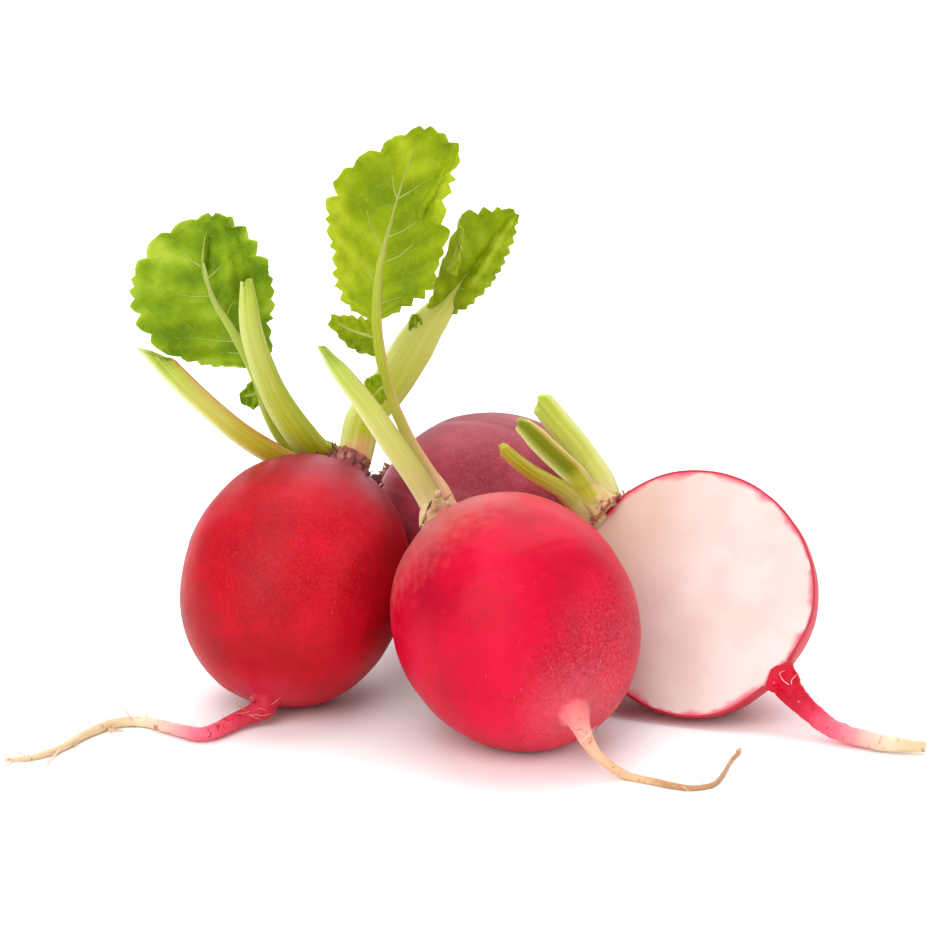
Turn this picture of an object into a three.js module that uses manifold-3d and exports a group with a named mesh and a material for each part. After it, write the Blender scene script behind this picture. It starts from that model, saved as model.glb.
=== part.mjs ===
// A bunch of radishes lying together on a table: three whole ones and a half with its white cut face.
// Most leaves were cut off, so short stalks stand on the crowns beside three young leaves.
// Millimetres, X to the right, Y away from the front, Z up. Places are given from the point where the
// centre radish touches the table, and the last lines move the group's origin to the middle of its base.
import * as THREE from 'three';
import { mergeVertices } from 'three/addons/utils/BufferGeometryUtils.js';
import Module from 'manifold-3d';

const CRIMSON = 0xd2082f;
const MAUVE_RED = 0xb84a63;
const STALK_GREEN = 0xb9c25a;
const LEAF_GREEN = 0x96ae24;
const DARK_LEAF_GREEN = 0x7a8f12;

const ROOT_SIDES = 22;
const GLOBE_RINGS = 14;
const TAPROOT_RINGS = 15;
const NECK_SHARES = [0, 0.35, 0.7, 1];
const STALK_SIDES = 12;
const STALK_RINGS = 11;
const FLARE_REACH = 1.2;
const BLADE_THICKNESS = 0.7;
const CELLS_ACROSS_BLADE = 8;
const RIB_SIDES = 8;
const ROOTLET_WIDTH = 0.5;
const TOWARDS_FRONT = new THREE.Vector3(0, -0.956, 0.292);

// Globe length runs from neck to taproot. The taproot's points start below the foot of the globe.
const LEFT_RADISH = {
  centre: [-32.6, 17.2, 18.2], crownDirection: [0.4, 0.5, 0.77], rootDirection: [-0.22, -0.62, -0.75],
  globeLength: 38.6, globeWidth: 33.8, neckHeight: 3.4, neckWidth: 4.8, neckFlare: 1.2, rootFlare: 1.2,
  sideCrown: { place: [-26.7, 30.8, 30.4], radius: 2.8 },
  taproot: [[-38.8, 3.9, 2.1], [-41, 2.4, 1.5], [-45.6, -2.3, 1.2], [-50.4, 0.6, 1], [-55.1, 4, 0.8],
    [-59, 3.4, 0.8], [-62.9, -0.9, 0.7], [-66.2, -6.5, 0.6], [-70.2, -10.1, 0.5], [-73.8, -10.7, 0.4]],
  taprootWidths: [3.1, 2.8, 2.5, 1.8, 1.5, 1.4, 1.3, 1.2, 0.9, 0.6],
  rootlets: 9,
};
const CENTRE_RADISH = {
  centre: [0, 0, 17.9], crownDirection: [-0.55, 0.54, 0.635], rootDirection: [0.43, -0.79, -0.435],
  globeLength: 38.6, globeWidth: 35.2, neckHeight: 2.2, neckWidth: 4, neckFlare: 1.3, rootFlare: 1,
  taproot: [[8.9, -16.4, 7.4], [10.6, -17, 4.7], [13.2, -17.3, 2.2], [15.8, -17.6, 0.7], [18.7, -19, 0.5],
    [22.3, -21.1, 0.5], [25.1, -21.8, 0.4], [27.9, -20.5, 0.4], [29.7, -16.2, 0.4], [31.1, -11, 0.4],
    [32.7, -7, 0.4]],
  taprootWidths: [3, 2.3, 1.6, 1.2, 1, 0.9, 0.8, 0.7, 0.6, 0.6],
  rootlets: 3,
};
const BACK_RADISH = {
  centre: [-2.3, 39.6, 18.3], crownDirection: [-0.86, 0.45, 0.24], rootDirection: [0.89, -0.2, -0.4],
  globeLength: 38.6, globeWidth: 37.4, neckHeight: 2, neckWidth: 4.2, neckFlare: 1.5, rootFlare: 1,
  taproot: [[17.6, 35.2, 8.8], [20.5, 35.6, 4.4], [24.5, 37, 1.3], [29, 39.5, 0.8], [34, 40.5, 0.6],
    [39, 39, 0.4]],
  taprootWidths: [3, 2.3, 1.7, 1.3, 1, 0.6],
  rootlets: 4,
};
const HALF_RADISH = {
  centre: [26.7, 12.1, 18], crownDirection: [-0.677, 0.508, 0.533], rootDirection: [0.677, -0.508, -0.533],
  globeLength: 36.8, globeWidth: 36.4, neckHeight: 4, neckWidth: 5.8, neckFlare: 0.6, rootFlare: 1.2,
  taproot: [[40.7, 1.6, 6.3], [43.4, -0.3, 3.9], [46, -2, 2.3], [48.6, -3.6, 1.6], [51.3, -5.1, 1.4],
    [54.9, -6.9, 1.3], [59.7, -7.3, 1.1]],
  taprootWidths: [4, 3.4, 2.9, 2.7, 2.6, 2.4, 2.1, 1.5],
  rootlets: 2,
};
const CUT_FACE_NORMAL = [-0.302, -0.851, 0.428];
const CUT_IN_FRONT_OF_AXIS = 0.6;

// Widths run evenly from base to tip. Depth is the share of the width seen from the side, groove
// how far the front is channelled, tipSlant how obliquely it was cut, tipHollow how deep its tip is sunk.
const CUT_STALKS = {
  left_outer_stalk: {
    points: [[-28.9, 32.4, 33.1], [-32.4, 31, 33.4], [-36.1, 29.5, 34.2], [-41, 28, 37.8], [-46.8, 27, 43.3],
      [-51.3, 26, 48.1], [-55.6, 25.5, 52.4]],
    widths: [2, 3, 3.5, 3.5, 3.4, 3.3, 3.6, 4], depth: 0.8, groove: 0.15, tipSlant: 0.5, tipHollow: 1.4,
  },
  left_front_stalk: {
    points: [[-28, 30.4, 34], [-30, 28.5, 35.4], [-32.6, 26.5, 39.1], [-35.6, 25, 44.6],
      [-37.5, 24, 49.7], [-39, 23, 55.5], [-39.6, 22, 63.4]],
    widths: [2.4, 4.3, 4.7, 4.4, 4, 3.7, 3.3, 2.5, 1.3], depth: 0.75, groove: 0.1, tipSlant: 0.2, tipHollow: 0,
  },
  centre_cut_stalk: {
    points: [[-12.9, 12.4, 33.2], [-14.7, 12.2, 36.3], [-16.8, 12, 39.6], [-19.5, 11.5, 43.9],
      [-22.3, 11, 48.3], [-25.5, 10.5, 52.7], [-28.1, 10, 56.6]],
    widths: [2.4, 3.3, 3.5, 3.6, 3.5, 3.1, 2.6, 1.4], depth: 0.75, groove: 0.2, tipSlant: -1, tipHollow: 0,
  },
  half_upper_stub: {
    points: [[12.6, 24, 32.3], [11.2, 24.4, 34.5], [8.8, 24.7, 38], [6.3, 24.9, 41.1], [3.6, 25.2, 44.5]],
    widths: [2.8, 3.8, 4.1, 4.1, 4, 3.7], depth: 0.6, groove: 0.15, tipSlant: 0.2, tipHollow: 0.4,
  },
  half_channelled_stub: {
    points: [[10.3, 22, 31.4], [9.2, 20.9, 33.6], [7.3, 20.2, 35.7], [4.9, 19.6, 38.2], [2.8, 19, 40.6],
      [0.7, 18.5, 42.9]],
    widths: [2.2, 2.8, 3.3, 3.5, 3.4, 2.6], depth: 0.65, groove: 0.45, tipSlant: -0.3, tipHollow: 0,
  },
  half_lower_stub: {
    points: [[8.8, 21.8, 29.5], [7.6, 20.5, 31.3], [5.4, 19, 33.1], [2.7, 18, 35], [0.1, 17, 37.3],
      [-2, 16.2, 39.5]],
    widths: [2, 2.4, 2.5, 2.4, 2.2, 2], depth: 0.8, groove: 0.15, tipSlant: 0.2, tipHollow: 0,
  },
};

// A blade is spanned between its midrib and its two rims, each a smooth line from base to apex.
const LEFT_LEAF = {
  stalk: [[-26.3, 34, 33], [-29.2, 33.4, 35.4], [-32.3, 31.6, 37.7], [-35.3, 30.8, 41.8], [-37.9, 30, 45.2],
    [-39.4, 30, 48.1], [-42.3, 30, 53.7], [-45.2, 30, 59], [-46.4, 30.5, 64]],
  stalkWidths: [2, 2.2, 2.2, 2, 1.6, 1.3, 1], stalkDepth: 0.8,
  blades: [
    {
      midrib: [[-39.4, 30, 48.1], [-42.3, 30, 53.7], [-45.2, 30, 59], [-46.5, 30.5, 62.9], [-46.2, 31, 67.4],
        [-45, 31, 71]],
      left: [[-40.3, 30.5, 47.7], [-46.5, 31, 47.8], [-53.3, 31, 50.3], [-57.2, 31, 55.3], [-57.7, 31, 60.5],
        [-55, 31.5, 66.2], [-51.1, 31.5, 69.4], [-45.6, 31, 71.6]],
      right: [[-38.6, 30, 47.2], [-36.3, 30, 50.3], [-36.3, 30, 53.7], [-35.7, 29.5, 58.5], [-36.5, 29.5, 64.1],
        [-38.8, 30, 68.2], [-41.5, 30.5, 70.9], [-44.5, 31, 71.6]],
      teeth: 14, toothHeight: 0.9, cup: 1.4, wave: 0.8, waves: 2.5,
    },
    {
      midrib: [[-36.4, 30.4, 43.2], [-38.6, 29.9, 43.4], [-40.6, 29.6, 43.8]],
      left: [[-35.6, 30.5, 42], [-37.5, 30, 42.1], [-40.5, 29.6, 43.3]],
      right: [[-37.1, 30.3, 44.3], [-38.4, 30, 45.2], [-40.6, 29.6, 44.4]],
      teeth: 3, toothHeight: 0.4, cup: 0.3, wave: 0, waves: 0,
    },
  ],
};
const RIGHT_LEAF = {
  stalk: [[-23.5, 29, 36.1], [-22.6, 30, 39.7], [-19.1, 31, 44.1], [-16.2, 31.5, 48.7], [-12.9, 32, 54],
    [-11.1, 32.2, 56.3], [-8.4, 32.5, 60.1], [-5.6, 33, 63.5], [-2.5, 33.4, 67.5]],
  stalkWidths: [4.2, 5.2, 5.5, 6, 6, 4.6, 2.4, 1.4, 1], stalkDepth: 0.5,
  blades: [
    {
      midrib: [[-11.1, 32.2, 56.3], [-8.4, 32.5, 60.1], [-5.6, 33, 63.5], [-2.5, 33.5, 68], [0.3, 33, 71]],
      left: [[-13, 31.2, 56.9], [-12.1, 30, 60.7], [-10.8, 28.8, 64.6], [-9.4, 28.8, 68.5], [-7.4, 31, 71.7],
        [-4.3, 32.6, 72.2], [0, 33, 71.7]],
      right: [[-10.2, 32, 54.8], [-6.6, 32, 56.7], [-3.3, 32.5, 59.9], [-1.1, 33, 63.5], [0.2, 33, 66.9],
        [0.9, 33, 70.8]],
      teeth: 11, toothHeight: 0.8, cup: -0.8, wave: 0.5, waves: 2,
    },
    {
      midrib: [[-14.2, 31.4, 52.8], [-14.8, 31, 54.4], [-14.9, 30.9, 56]],
      left: [[-15.2, 31.2, 52.2], [-16, 31, 53.8], [-15.3, 30.9, 55.9]],
      right: [[-13.2, 31.2, 53.6], [-13.2, 31, 54.6], [-14.5, 30.9, 56]],
      teeth: 2, toothHeight: 0.4, cup: 0.3, wave: 0, waves: 0,
    },
  ],
};
const CENTRE_LEAF = {
  stalk: [[-10.9, 15.4, 33], [-12.5, 16, 35.4], [-15.1, 17, 39.6], [-16.9, 18, 43.2], [-18, 18.5, 45.8],
    [-19.6, 19.5, 51.7], [-20.4, 20, 57.8], [-19.9, 20.5, 65.8], [-18.5, 21, 71.4], [-16.8, 21.5, 77.3]],
  stalkWidths: [2, 1.9, 1.6, 1.5, 1.7, 1.7, 1.3, 1.1, 1], stalkDepth: 0.8,
  blades: [
    {
      midrib: [[-20.4, 20, 58.3], [-19.9, 20.5, 65.8], [-18.5, 21, 71.4], [-16.8, 21.5, 77.3], [-15, 22, 82.4],
        [-13.2, 23, 86]],
      left: [[-21.3, 20, 58], [-25, 19.5, 60.2], [-26.7, 19.5, 63.9], [-26.9, 19.5, 67.5],
        [-27.8, 19.5, 73.1], [-27.4, 20, 77.3], [-24.6, 20.5, 81.1], [-19.7, 21.5, 84.2], [-13.9, 23, 86.6]],
      right: [[-19.6, 20, 58.1], [-16.4, 19.5, 59.5], [-12.1, 19, 62.4], [-11, 19, 66.6],
        [-9.5, 19.5, 71.1], [-9.9, 20, 74.9], [-8.5, 21, 79.2], [-8.1, 22, 83.9], [-12.4, 23, 86.6]],
      teeth: 14, toothHeight: 0.9, cup: 1, wave: 0.7, waves: 3,
    },
    {
      midrib: [[-20.2, 19.9, 55.2], [-24, 19.2, 56.6], [-27, 18.7, 58.5]],
      left: [[-20, 19.8, 52.3], [-23.8, 19.2, 53.4], [-27.6, 18.6, 57.6]],
      right: [[-20.6, 20, 57.1], [-23.9, 19.3, 58.8], [-27, 18.8, 59.2]],
      teeth: 5, toothHeight: 0.5, cup: 0.4, wave: 0.2, waves: 1,
    },
    {
      midrib: [[-18.7, 19, 48.6], [-20.6, 18.5, 47], [-21.3, 18.2, 45.2]],
      left: [[-18.2, 18.8, 46.8], [-19.3, 18.3, 45.6], [-20.7, 18, 44.4]],
      right: [[-19.3, 19.2, 50.2], [-22, 18.6, 49.4], [-22.1, 18.2, 45.6]],
      teeth: 3, toothHeight: 0.4, cup: 0.2, wave: 0, waves: 0,
    },
  ],
};

const wasm = await Module();
wasm.setup();

function vector(place) {
  return new THREE.Vector3(...place);
}

function smoothLine(places) {
  const line = new THREE.CatmullRomCurve3(places.map(vector));
  line.arcLengthDivisions = 400;
  return line;
}

// The value of an evenly spread list at a share from 0 to 1 of its length.
function valueAt(list, share) {
  const place = THREE.MathUtils.clamp(share, 0, 1) * (list.length - 1);
  const before = Math.min(Math.floor(place), list.length - 2);
  return THREE.MathUtils.lerp(list[before], list[before + 1], place - before);
}

function solidOf(geometry) {
  const bare = new THREE.BufferGeometry();
  bare.setAttribute('position', geometry.getAttribute('position')).setIndex(geometry.index);
  const merged = mergeVertices(bare, 1e-4);
  return new wasm.Manifold(new wasm.Mesh({
    numProp: 3,
    vertProperties: merged.attributes.position.array,
    triVerts: new Uint32Array(merged.index.array),
  }));
}

function geometryOf(solid) {
  const mesh = solid.getMesh();
  const geometry = new THREE.BufferGeometry();
  geometry.setAttribute('position', new THREE.BufferAttribute(mesh.vertProperties, 3));
  geometry.setIndex(new THREE.BufferAttribute(mesh.triVerts, 1));
  geometry.computeVertexNormals();
  return geometry;
}

// Where each ring of a tube stands: its origin on the line, and its forward, side and up directions.
function ringFrames(line, shares, firstSide) {
  let side = firstSide.clone();
  let forward;
  return shares.map((share) => {
    const next = line.getTangentAt(THREE.MathUtils.clamp(share, 0, 1));
    if (forward) side = side.clone().applyQuaternion(new THREE.Quaternion().setFromUnitVectors(forward, next));
    side = side.clone().addScaledVector(next, -side.dot(next)).normalize();
    forward = next;
    const up = new THREE.Vector3().crossVectors(forward, side);
    return { origin: line.getPointAt(THREE.MathUtils.clamp(share, 0, 1)), forward, side, up };
  });
}

// A closed tube through the frames. section(ring, angle) gives a rim point as [side, up, forward]
// from the ring's origin, and endDepth is how far the last cap's middle is sunk.
function tube(frames, sides, section, endDepth = 0) {
  const shape = new THREE.CylinderGeometry(1, 1, 1, sides, frames.length - 1);
  const at = shape.attributes.position;
  for (let i = 0; i < at.count; i++) {
    const ring = Math.round((0.5 - at.getY(i)) * (frames.length - 1));
    const { origin, forward, side, up } = frames[ring];
    const isMiddle = Math.hypot(at.getX(i), at.getZ(i)) < 0.5;
    const [across, upward, ahead] = isMiddle
      ? [0, 0, ring > 0 ? -endDepth : 0]
      : section(ring, Math.atan2(at.getZ(i), at.getX(i)));
    const place = origin.clone().addScaledVector(side, across);
    place.addScaledVector(up, upward).addScaledVector(forward, ahead);
    at.setXYZ(i, place.x, place.y, place.z);
  }
  return solidOf(shape);
}

function smoothUnion(a, b) {
  return (a ** 3 + b ** 3) ** (1 / 3);
}

// Distances and radii down a radish from the top of its neck over the globe to the taproot's tip.
function radishRings(radish, lineLength) {
  const { globeLength, globeWidth, neckHeight, neckWidth, neckFlare, rootFlare, taprootWidths } = radish;
  const foot = neckHeight + globeLength;
  const neckRadius = (distance) => {
    const above = Math.max(neckHeight - distance, 0);
    return neckWidth / 2 + neckFlare * Math.exp(-above / FLARE_REACH);
  };
  const rootRadius = (distance) => {
    const below = Math.max(distance - foot, 0);
    return valueAt(taprootWidths, below / (lineLength - foot)) / 2 + rootFlare * Math.exp(-below / FLARE_REACH);
  };
  const rings = NECK_SHARES.map((share) => [share * neckHeight, neckRadius(share * neckHeight)]);
  for (let i = 1; i < GLOBE_RINGS; i++) {
    const turn = (Math.PI * i) / GLOBE_RINGS;
    const distance = neckHeight + (globeLength / 2) * (1 - Math.cos(turn));
    const globeRadius = (globeWidth / 2) * Math.sin(turn) ** 0.94;
    rings.push([distance, smoothUnion(globeRadius, i < GLOBE_RINGS / 2 ? neckRadius(distance) : rootRadius(distance))]);
  }
  for (let i = 0; i <= TAPROOT_RINGS; i++) {
    const distance = foot + 0.2 + (lineLength - foot - 0.2) * (i / TAPROOT_RINGS) ** 1.4;
    rings.push([distance, rootRadius(distance)]);
  }
  return rings;
}

function radishLine({ centre, crownDirection, rootDirection, globeLength, neckHeight, taproot }) {
  const neckTop = vector(centre).addScaledVector(vector(crownDirection).normalize(), globeLength / 2 + neckHeight);
  const foot = vector(centre).addScaledVector(vector(rootDirection).normalize(), globeLength / 2);
  return smoothLine([neckTop.toArray(), centre, foot.toArray(), ...taproot]);
}

// Thin side roots, a few along the taproot, turned round it by the golden angle.
function rootlets(line, count, footShare, taprootWidths) {
  const solids = [];
  for (let i = 0; i < count; i++) {
    const along = 0.12 + (0.83 * (i + 0.5)) / count;
    const share = footShare + (1 - footShare) * along;
    const [frame] = ringFrames(line, [share], new THREE.Vector3(0, 0, 1));
    const turn = i * 2.4;
    const out = frame.side.clone().multiplyScalar(Math.abs(Math.cos(turn))).addScaledVector(frame.up, Math.sin(turn));
    out.addScaledVector(frame.forward, 0.5).normalize();
    const length = valueAt(taprootWidths, along) / 2 + 1.2 + 1.1 * Math.abs(Math.sin(3 * turn));
    const cone = new THREE.ConeGeometry(ROOTLET_WIDTH / 2, length, 4);
    cone.translate(0, length / 2, 0);
    cone.applyQuaternion(new THREE.Quaternion().setFromUnitVectors(new THREE.Vector3(0, 1, 0), out));
    cone.translate(...frame.origin.toArray());
    solids.push(solidOf(cone));
  }
  return solids;
}

// The ragged bases of old leaves round the neck: short pointed scales on its rim.
function leafBases(frame, neckWidth) {
  const count = 7;
  const solids = [];
  for (let i = 0; i < count; i++) {
    const turn = (2 * Math.PI * i) / count;
    const out = frame.side.clone().multiplyScalar(Math.cos(turn)).addScaledVector(frame.up, Math.sin(turn));
    const height = 1.7 + 0.5 * Math.sin(5 * turn);
    const cone = new THREE.ConeGeometry(0.75, height, 5).translate(0, height * 0.3, 0);
    const leaning = out.clone().multiplyScalar(0.8).addScaledVector(frame.forward, -0.6).normalize();
    cone.applyQuaternion(new THREE.Quaternion().setFromUnitVectors(new THREE.Vector3(0, 1, 0), leaning));
    cone.translate(...frame.origin.clone().addScaledVector(out, neckWidth / 2 - 0.3).toArray());
    solids.push(solidOf(cone));
  }
  return solids;
}

// A large block whose face lies on the plane through a point, on the side that the normal points to.
function blockBeyond(point, normal) {
  const size = 200;
  const block = new THREE.BoxGeometry(size, size, size).translate(0, 0, size / 2);
  const turned = new THREE.Quaternion().setFromUnitVectors(new THREE.Vector3(0, 0, 1), normal);
  return solidOf(block.applyQuaternion(turned).translate(...point.toArray()));
}

const belowTable = blockBeyond(new THREE.Vector3(), new THREE.Vector3(0, 0, -1));

function radishSolid(radish, cut) {
  const line = radishLine(radish);
  const length = line.getLength();
  const rings = radishRings(radish, length);
  const frames = ringFrames(line, rings.map(([distance]) => distance / length), new THREE.Vector3(1, 0, 0));
  const rounded = (first, end) => tube(frames.slice(first, end), ROOT_SIDES, (ring, angle) => {
    const radius = rings[first + ring][1];
    return [radius * Math.cos(angle), radius * Math.sin(angle), 0];
  });
  let solid = rounded(0, rings.length);
  if (cut) {
    solid = solid.subtract(cut).add(rounded(0, NECK_SHARES.length));
    solid = solid.add(rounded(NECK_SHARES.length + GLOBE_RINGS - 1, rings.length));
  }
  const footShare = (radish.neckHeight + radish.globeLength) / length;
  const small = [...rootlets(line, radish.rootlets, footShare, radish.taprootWidths)];
  if (!cut) small.push(...leafBases(frames[NECK_SHARES.length - 1], radish.neckWidth));
  if (radish.sideCrown) {
    const lump = new THREE.IcosahedronGeometry(radish.sideCrown.radius, 2);
    small.push(solidOf(lump.translate(...radish.sideCrown.place)));
  }
  for (const piece of small) solid = solid.add(piece);
  return solid.subtract(belowTable);
}

function cutAwayHalf() {
  const normal = vector(CUT_FACE_NORMAL).normalize();
  return blockBeyond(vector(HALF_RADISH.centre).addScaledVector(normal, CUT_IN_FRONT_OF_AXIS), normal);
}

function evenShares(count) {
  return Array.from({ length: count + 1 }, (_, i) => i / count);
}

function cutStalk({ points, widths, depth, groove, tipSlant, tipHollow }) {
  const frames = ringFrames(smoothLine(points), evenShares(STALK_RINGS), new THREE.Vector3(1, 0, 0));
  return tube(frames, STALK_SIDES, (ring, angle) => {
    const radius = valueAt(widths, ring / STALK_RINGS) / 2;
    const front = Math.max(-Math.sin(angle), 0) ** 2;
    const across = radius * Math.cos(angle);
    return [across, radius * (depth * Math.sin(angle) + groove * front), ring < STALK_RINGS ? 0 : tipSlant * across];
  }, tipHollow);
}

// A flat grid and its copy one thickness away, closed along the border. Both are split alike.
function thickened(sheet, across, along) {
  sheet.computeVertexNormals();
  const at = sheet.attributes.position;
  const facing = sheet.attributes.normal;
  const places = [BLADE_THICKNESS / 2, -BLADE_THICKNESS / 2].flatMap((offset) => {
    const shifted = [];
    for (let i = 0; i < at.count; i++) {
      const place = new THREE.Vector3().fromBufferAttribute(at, i);
      shifted.push(...place.addScaledVector(new THREE.Vector3().fromBufferAttribute(facing, i), offset).toArray());
    }
    return shifted;
  });
  const triangles = [...sheet.index.array];
  for (let i = 0; i < sheet.index.count; i += 3) {
    const [a, b, c] = sheet.index.array.slice(i, i + 3);
    triangles.push(at.count + a, at.count + c, at.count + b);
  }
  const loop = borderLoop(across, along);
  loop.forEach((a, i) => {
    const b = loop[(i + 1) % loop.length];
    triangles.push(b, a, at.count + a, b, at.count + a, at.count + b);
  });
  const closed = new THREE.BufferGeometry();
  closed.setAttribute('position', new THREE.Float32BufferAttribute(places, 3)).setIndex(triangles);
  return solidOf(closed);
}

function borderLoop(across, along) {
  const at = (column, row) => column + (across + 1) * row;
  const loop = [];
  for (let i = 0; i < across; i++) loop.push(at(i, along));
  for (let i = along; i > 0; i--) loop.push(at(across, i));
  for (let i = across; i > 0; i--) loop.push(at(i, 0));
  for (let i = 0; i < along; i++) loop.push(at(0, i));
  return loop;
}

// A toothed blade between its midrib and rims. Every second row of the grid ends in a tooth.
function blade({ midrib, left, right, teeth, toothHeight, cup, wave, waves }) {
  const rows = 2 * teeth;
  const sheet = new THREE.PlaneGeometry(2, 1, CELLS_ACROSS_BLADE, rows);
  const lines = { midrib: smoothLine(midrib), left: smoothLine(left), right: smoothLine(right) };
  const at = sheet.attributes.position;
  for (let i = 0; i < at.count; i++) {
    const sideways = at.getX(i);
    const share = at.getY(i) + 0.5;
    const rim = sideways < 0 ? lines.left : lines.right;
    const outward = new THREE.Vector3().crossVectors(TOWARDS_FRONT, rim.getTangentAt(share));
    outward.multiplyScalar(-Math.sign(sideways)).normalize();
    const isTooth = Math.round(share * rows) % 2 === 1;
    const reach = Math.abs(sideways);
    const place = lines.midrib.getPointAt(share).lerp(rim.getPointAt(share), reach);
    const notch = isTooth ? 0 : toothHeight * Math.min(1, 3 * Math.sin(Math.PI * share));
    if (reach === 1) place.addScaledVector(outward, -notch);
    const inner = 4 * reach * (1 - reach);
    const lift = cup * inner + wave * reach ** 2 * Math.sin(2 * Math.PI * waves * share + sideways);
    place.addScaledVector(TOWARDS_FRONT, -lift * Math.sin(Math.PI * share));
    at.setXYZ(i, place.x, place.y, place.z);
  }
  return thickened(sheet, CELLS_ACROSS_BLADE, rows);
}

function leafSolid({ stalk, stalkWidths, stalkDepth, blades }) {
  const rings = 2 * stalk.length;
  const frames = ringFrames(smoothLine(stalk), evenShares(rings), new THREE.Vector3(1, 0, 0));
  let solid = tube(frames, RIB_SIDES, (ring, angle) => {
    const radius = valueAt(stalkWidths, ring / rings) / 2;
    return [radius * Math.cos(angle), stalkDepth * radius * Math.sin(angle), 0];
  });
  for (const each of blades) solid = solid.add(blade(each));
  return solid;
}

function piece(name, solid, color, roughness) {
  const material = new THREE.MeshStandardMaterial({ color, roughness, metalness: 0 });
  const mesh = new THREE.Mesh(geometryOf(solid), material);
  mesh.name = name;
  return mesh;
}

const bunch = new THREE.Group();
bunch.add(
  piece('left_radish_root', radishSolid(LEFT_RADISH), CRIMSON, 0.4),
  piece('centre_radish_root', radishSolid(CENTRE_RADISH), CRIMSON, 0.4),
  piece('back_radish_root', radishSolid(BACK_RADISH), MAUVE_RED, 0.5),
  piece('half_radish_root', radishSolid(HALF_RADISH, cutAwayHalf()), CRIMSON, 0.4),
  piece('left_leaf', leafSolid(LEFT_LEAF), LEAF_GREEN, 0.6),
  piece('right_leaf', leafSolid(RIGHT_LEAF), DARK_LEAF_GREEN, 0.6),
  piece('centre_leaf', leafSolid(CENTRE_LEAF), LEAF_GREEN, 0.6),
);
for (const [name, stalk] of Object.entries(CUT_STALKS)) bunch.add(piece(name, cutStalk(stalk), STALK_GREEN, 0.5));

const extent = new THREE.Box3().setFromObject(bunch);
const middle = extent.getCenter(new THREE.Vector3());
bunch.position.set(-middle.x, -middle.y, -extent.min.z);

export default bunch;
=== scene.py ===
# A bunch of radishes: three whole ones and a half with its white cut face, young leaves and cut stalks.
import math
import random
from collections import namedtuple
from functools import partial

import bmesh
import bpy
from mathutils import Matrix, Vector, noise


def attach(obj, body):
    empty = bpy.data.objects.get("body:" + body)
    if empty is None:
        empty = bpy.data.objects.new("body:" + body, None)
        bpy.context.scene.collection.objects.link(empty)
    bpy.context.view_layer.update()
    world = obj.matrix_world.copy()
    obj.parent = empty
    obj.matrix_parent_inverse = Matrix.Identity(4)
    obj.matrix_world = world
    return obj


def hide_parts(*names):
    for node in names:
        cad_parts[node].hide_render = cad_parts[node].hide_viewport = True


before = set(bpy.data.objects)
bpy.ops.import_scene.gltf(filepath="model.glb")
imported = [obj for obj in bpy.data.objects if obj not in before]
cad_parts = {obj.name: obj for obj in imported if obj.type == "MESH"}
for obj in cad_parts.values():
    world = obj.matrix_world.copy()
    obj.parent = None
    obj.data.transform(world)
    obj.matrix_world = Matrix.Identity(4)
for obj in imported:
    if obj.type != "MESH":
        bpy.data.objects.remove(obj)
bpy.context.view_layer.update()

bl_info = {
    "name": "Bunch of Radishes",
    "version": (1, 0, 0),
    "blender": (4, 5, 0),
    "location": "View3D > Sidebar > Radishes",
    "description": "Whole radishes and a cut half with young leaves, stalks and roots, fitted to their frame",
    "category": "Add Mesh",
}

# Places are given in mm from the point where the centre radish touches the table, as in the part's
# source. That point lies off the middle of the bunch's base by this shift.
BENCH_SHIFT = Vector((7.040, -17.265, 0.0))
MM = 0.001
FROM_BENCH = Matrix.Scale(MM, 4) @ Matrix.Translation(BENCH_SHIFT)
TOWARDS_FRONT = Vector((0, -0.956, 0.292))
BACKWARDS = Vector((0, 1, 0))

ARC_STEPS = 400
WELD_DISTANCE = 1e-4
SHARP_ANGLE = math.radians(50)
# How far the flares of neck and taproot reach, and the pinch above the foot of a globe.
NECK_FLARE_REACH, ROOT_FLARE_REACH = 1.2, 1.7
PINCH_REACH = 1.3
# A globe is a little blunter than a ball, and runs smoothly into its neck and taproot.
GLOBE_BLUNTNESS, JOIN_SHARPNESS = 0.94, 3
GLOBE_SPANS = 8
# A taproot leaves its globe straight and bends only after this many mm.
STRAIGHT_BELOW_FOOT = 1.2
# The taproot of the half starts in a point: its length, bluntness and rings, and how far it stands out
# from the cut face.
TAPROOT_NOSE, NOSE_BLUNTNESS, NOSE_RINGS, NOSE_ABOVE_FACE = 2.0, 0.7, 8, 0.12
# The lump on the shoulder of the left radish, where its outer leaves stood.
SIDE_CROWN_MIDDLE, SIDE_CROWN_RADIUS = Vector((-26.9, 30.8, 29.7)), 2.6
# How a cut stalk closes behind its rim: the share of its width left, and the share of its hollow reached.
TIP_RINGS = ((0.82, -0.15), (0.74, -0.6), (0.6, -0.9), (0.3, -1.0))

# The lamps: direction from the bunch, distance in m, width and height in m, and power in W.
LAMPS = {
    "window": ((-0.38, -0.68, 0.6), 0.9, (0.75, 1.1), 7.4),
    "overhead": ((0.0, 0.35, 1.0), 1.1, (1.1, 0.9), 9.0),
    "fill": ((0.8, -0.5, 0.45), 1.1, (0.8, 0.8), 3.0),
    "backdrop": ((0.0, 1.6, 1.0), 2.4, (4.0, 2.0), 40.0),
}
LIT_MIDDLE = Vector((0, 0, 0.03))
WORLD_STRENGTH = 0.36
# The camera stands about 0.6 m away, looks down by this angle and has a long lens, in mm.
CAMERA_PLACE = Vector((-6.85, -567.28, 214.68))
CAMERA_TILT = math.radians(17)
LENS_LENGTH, SENSOR_WIDTH = 158.3, 36
CAMERA_RANGE = (0.01, 20)

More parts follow.
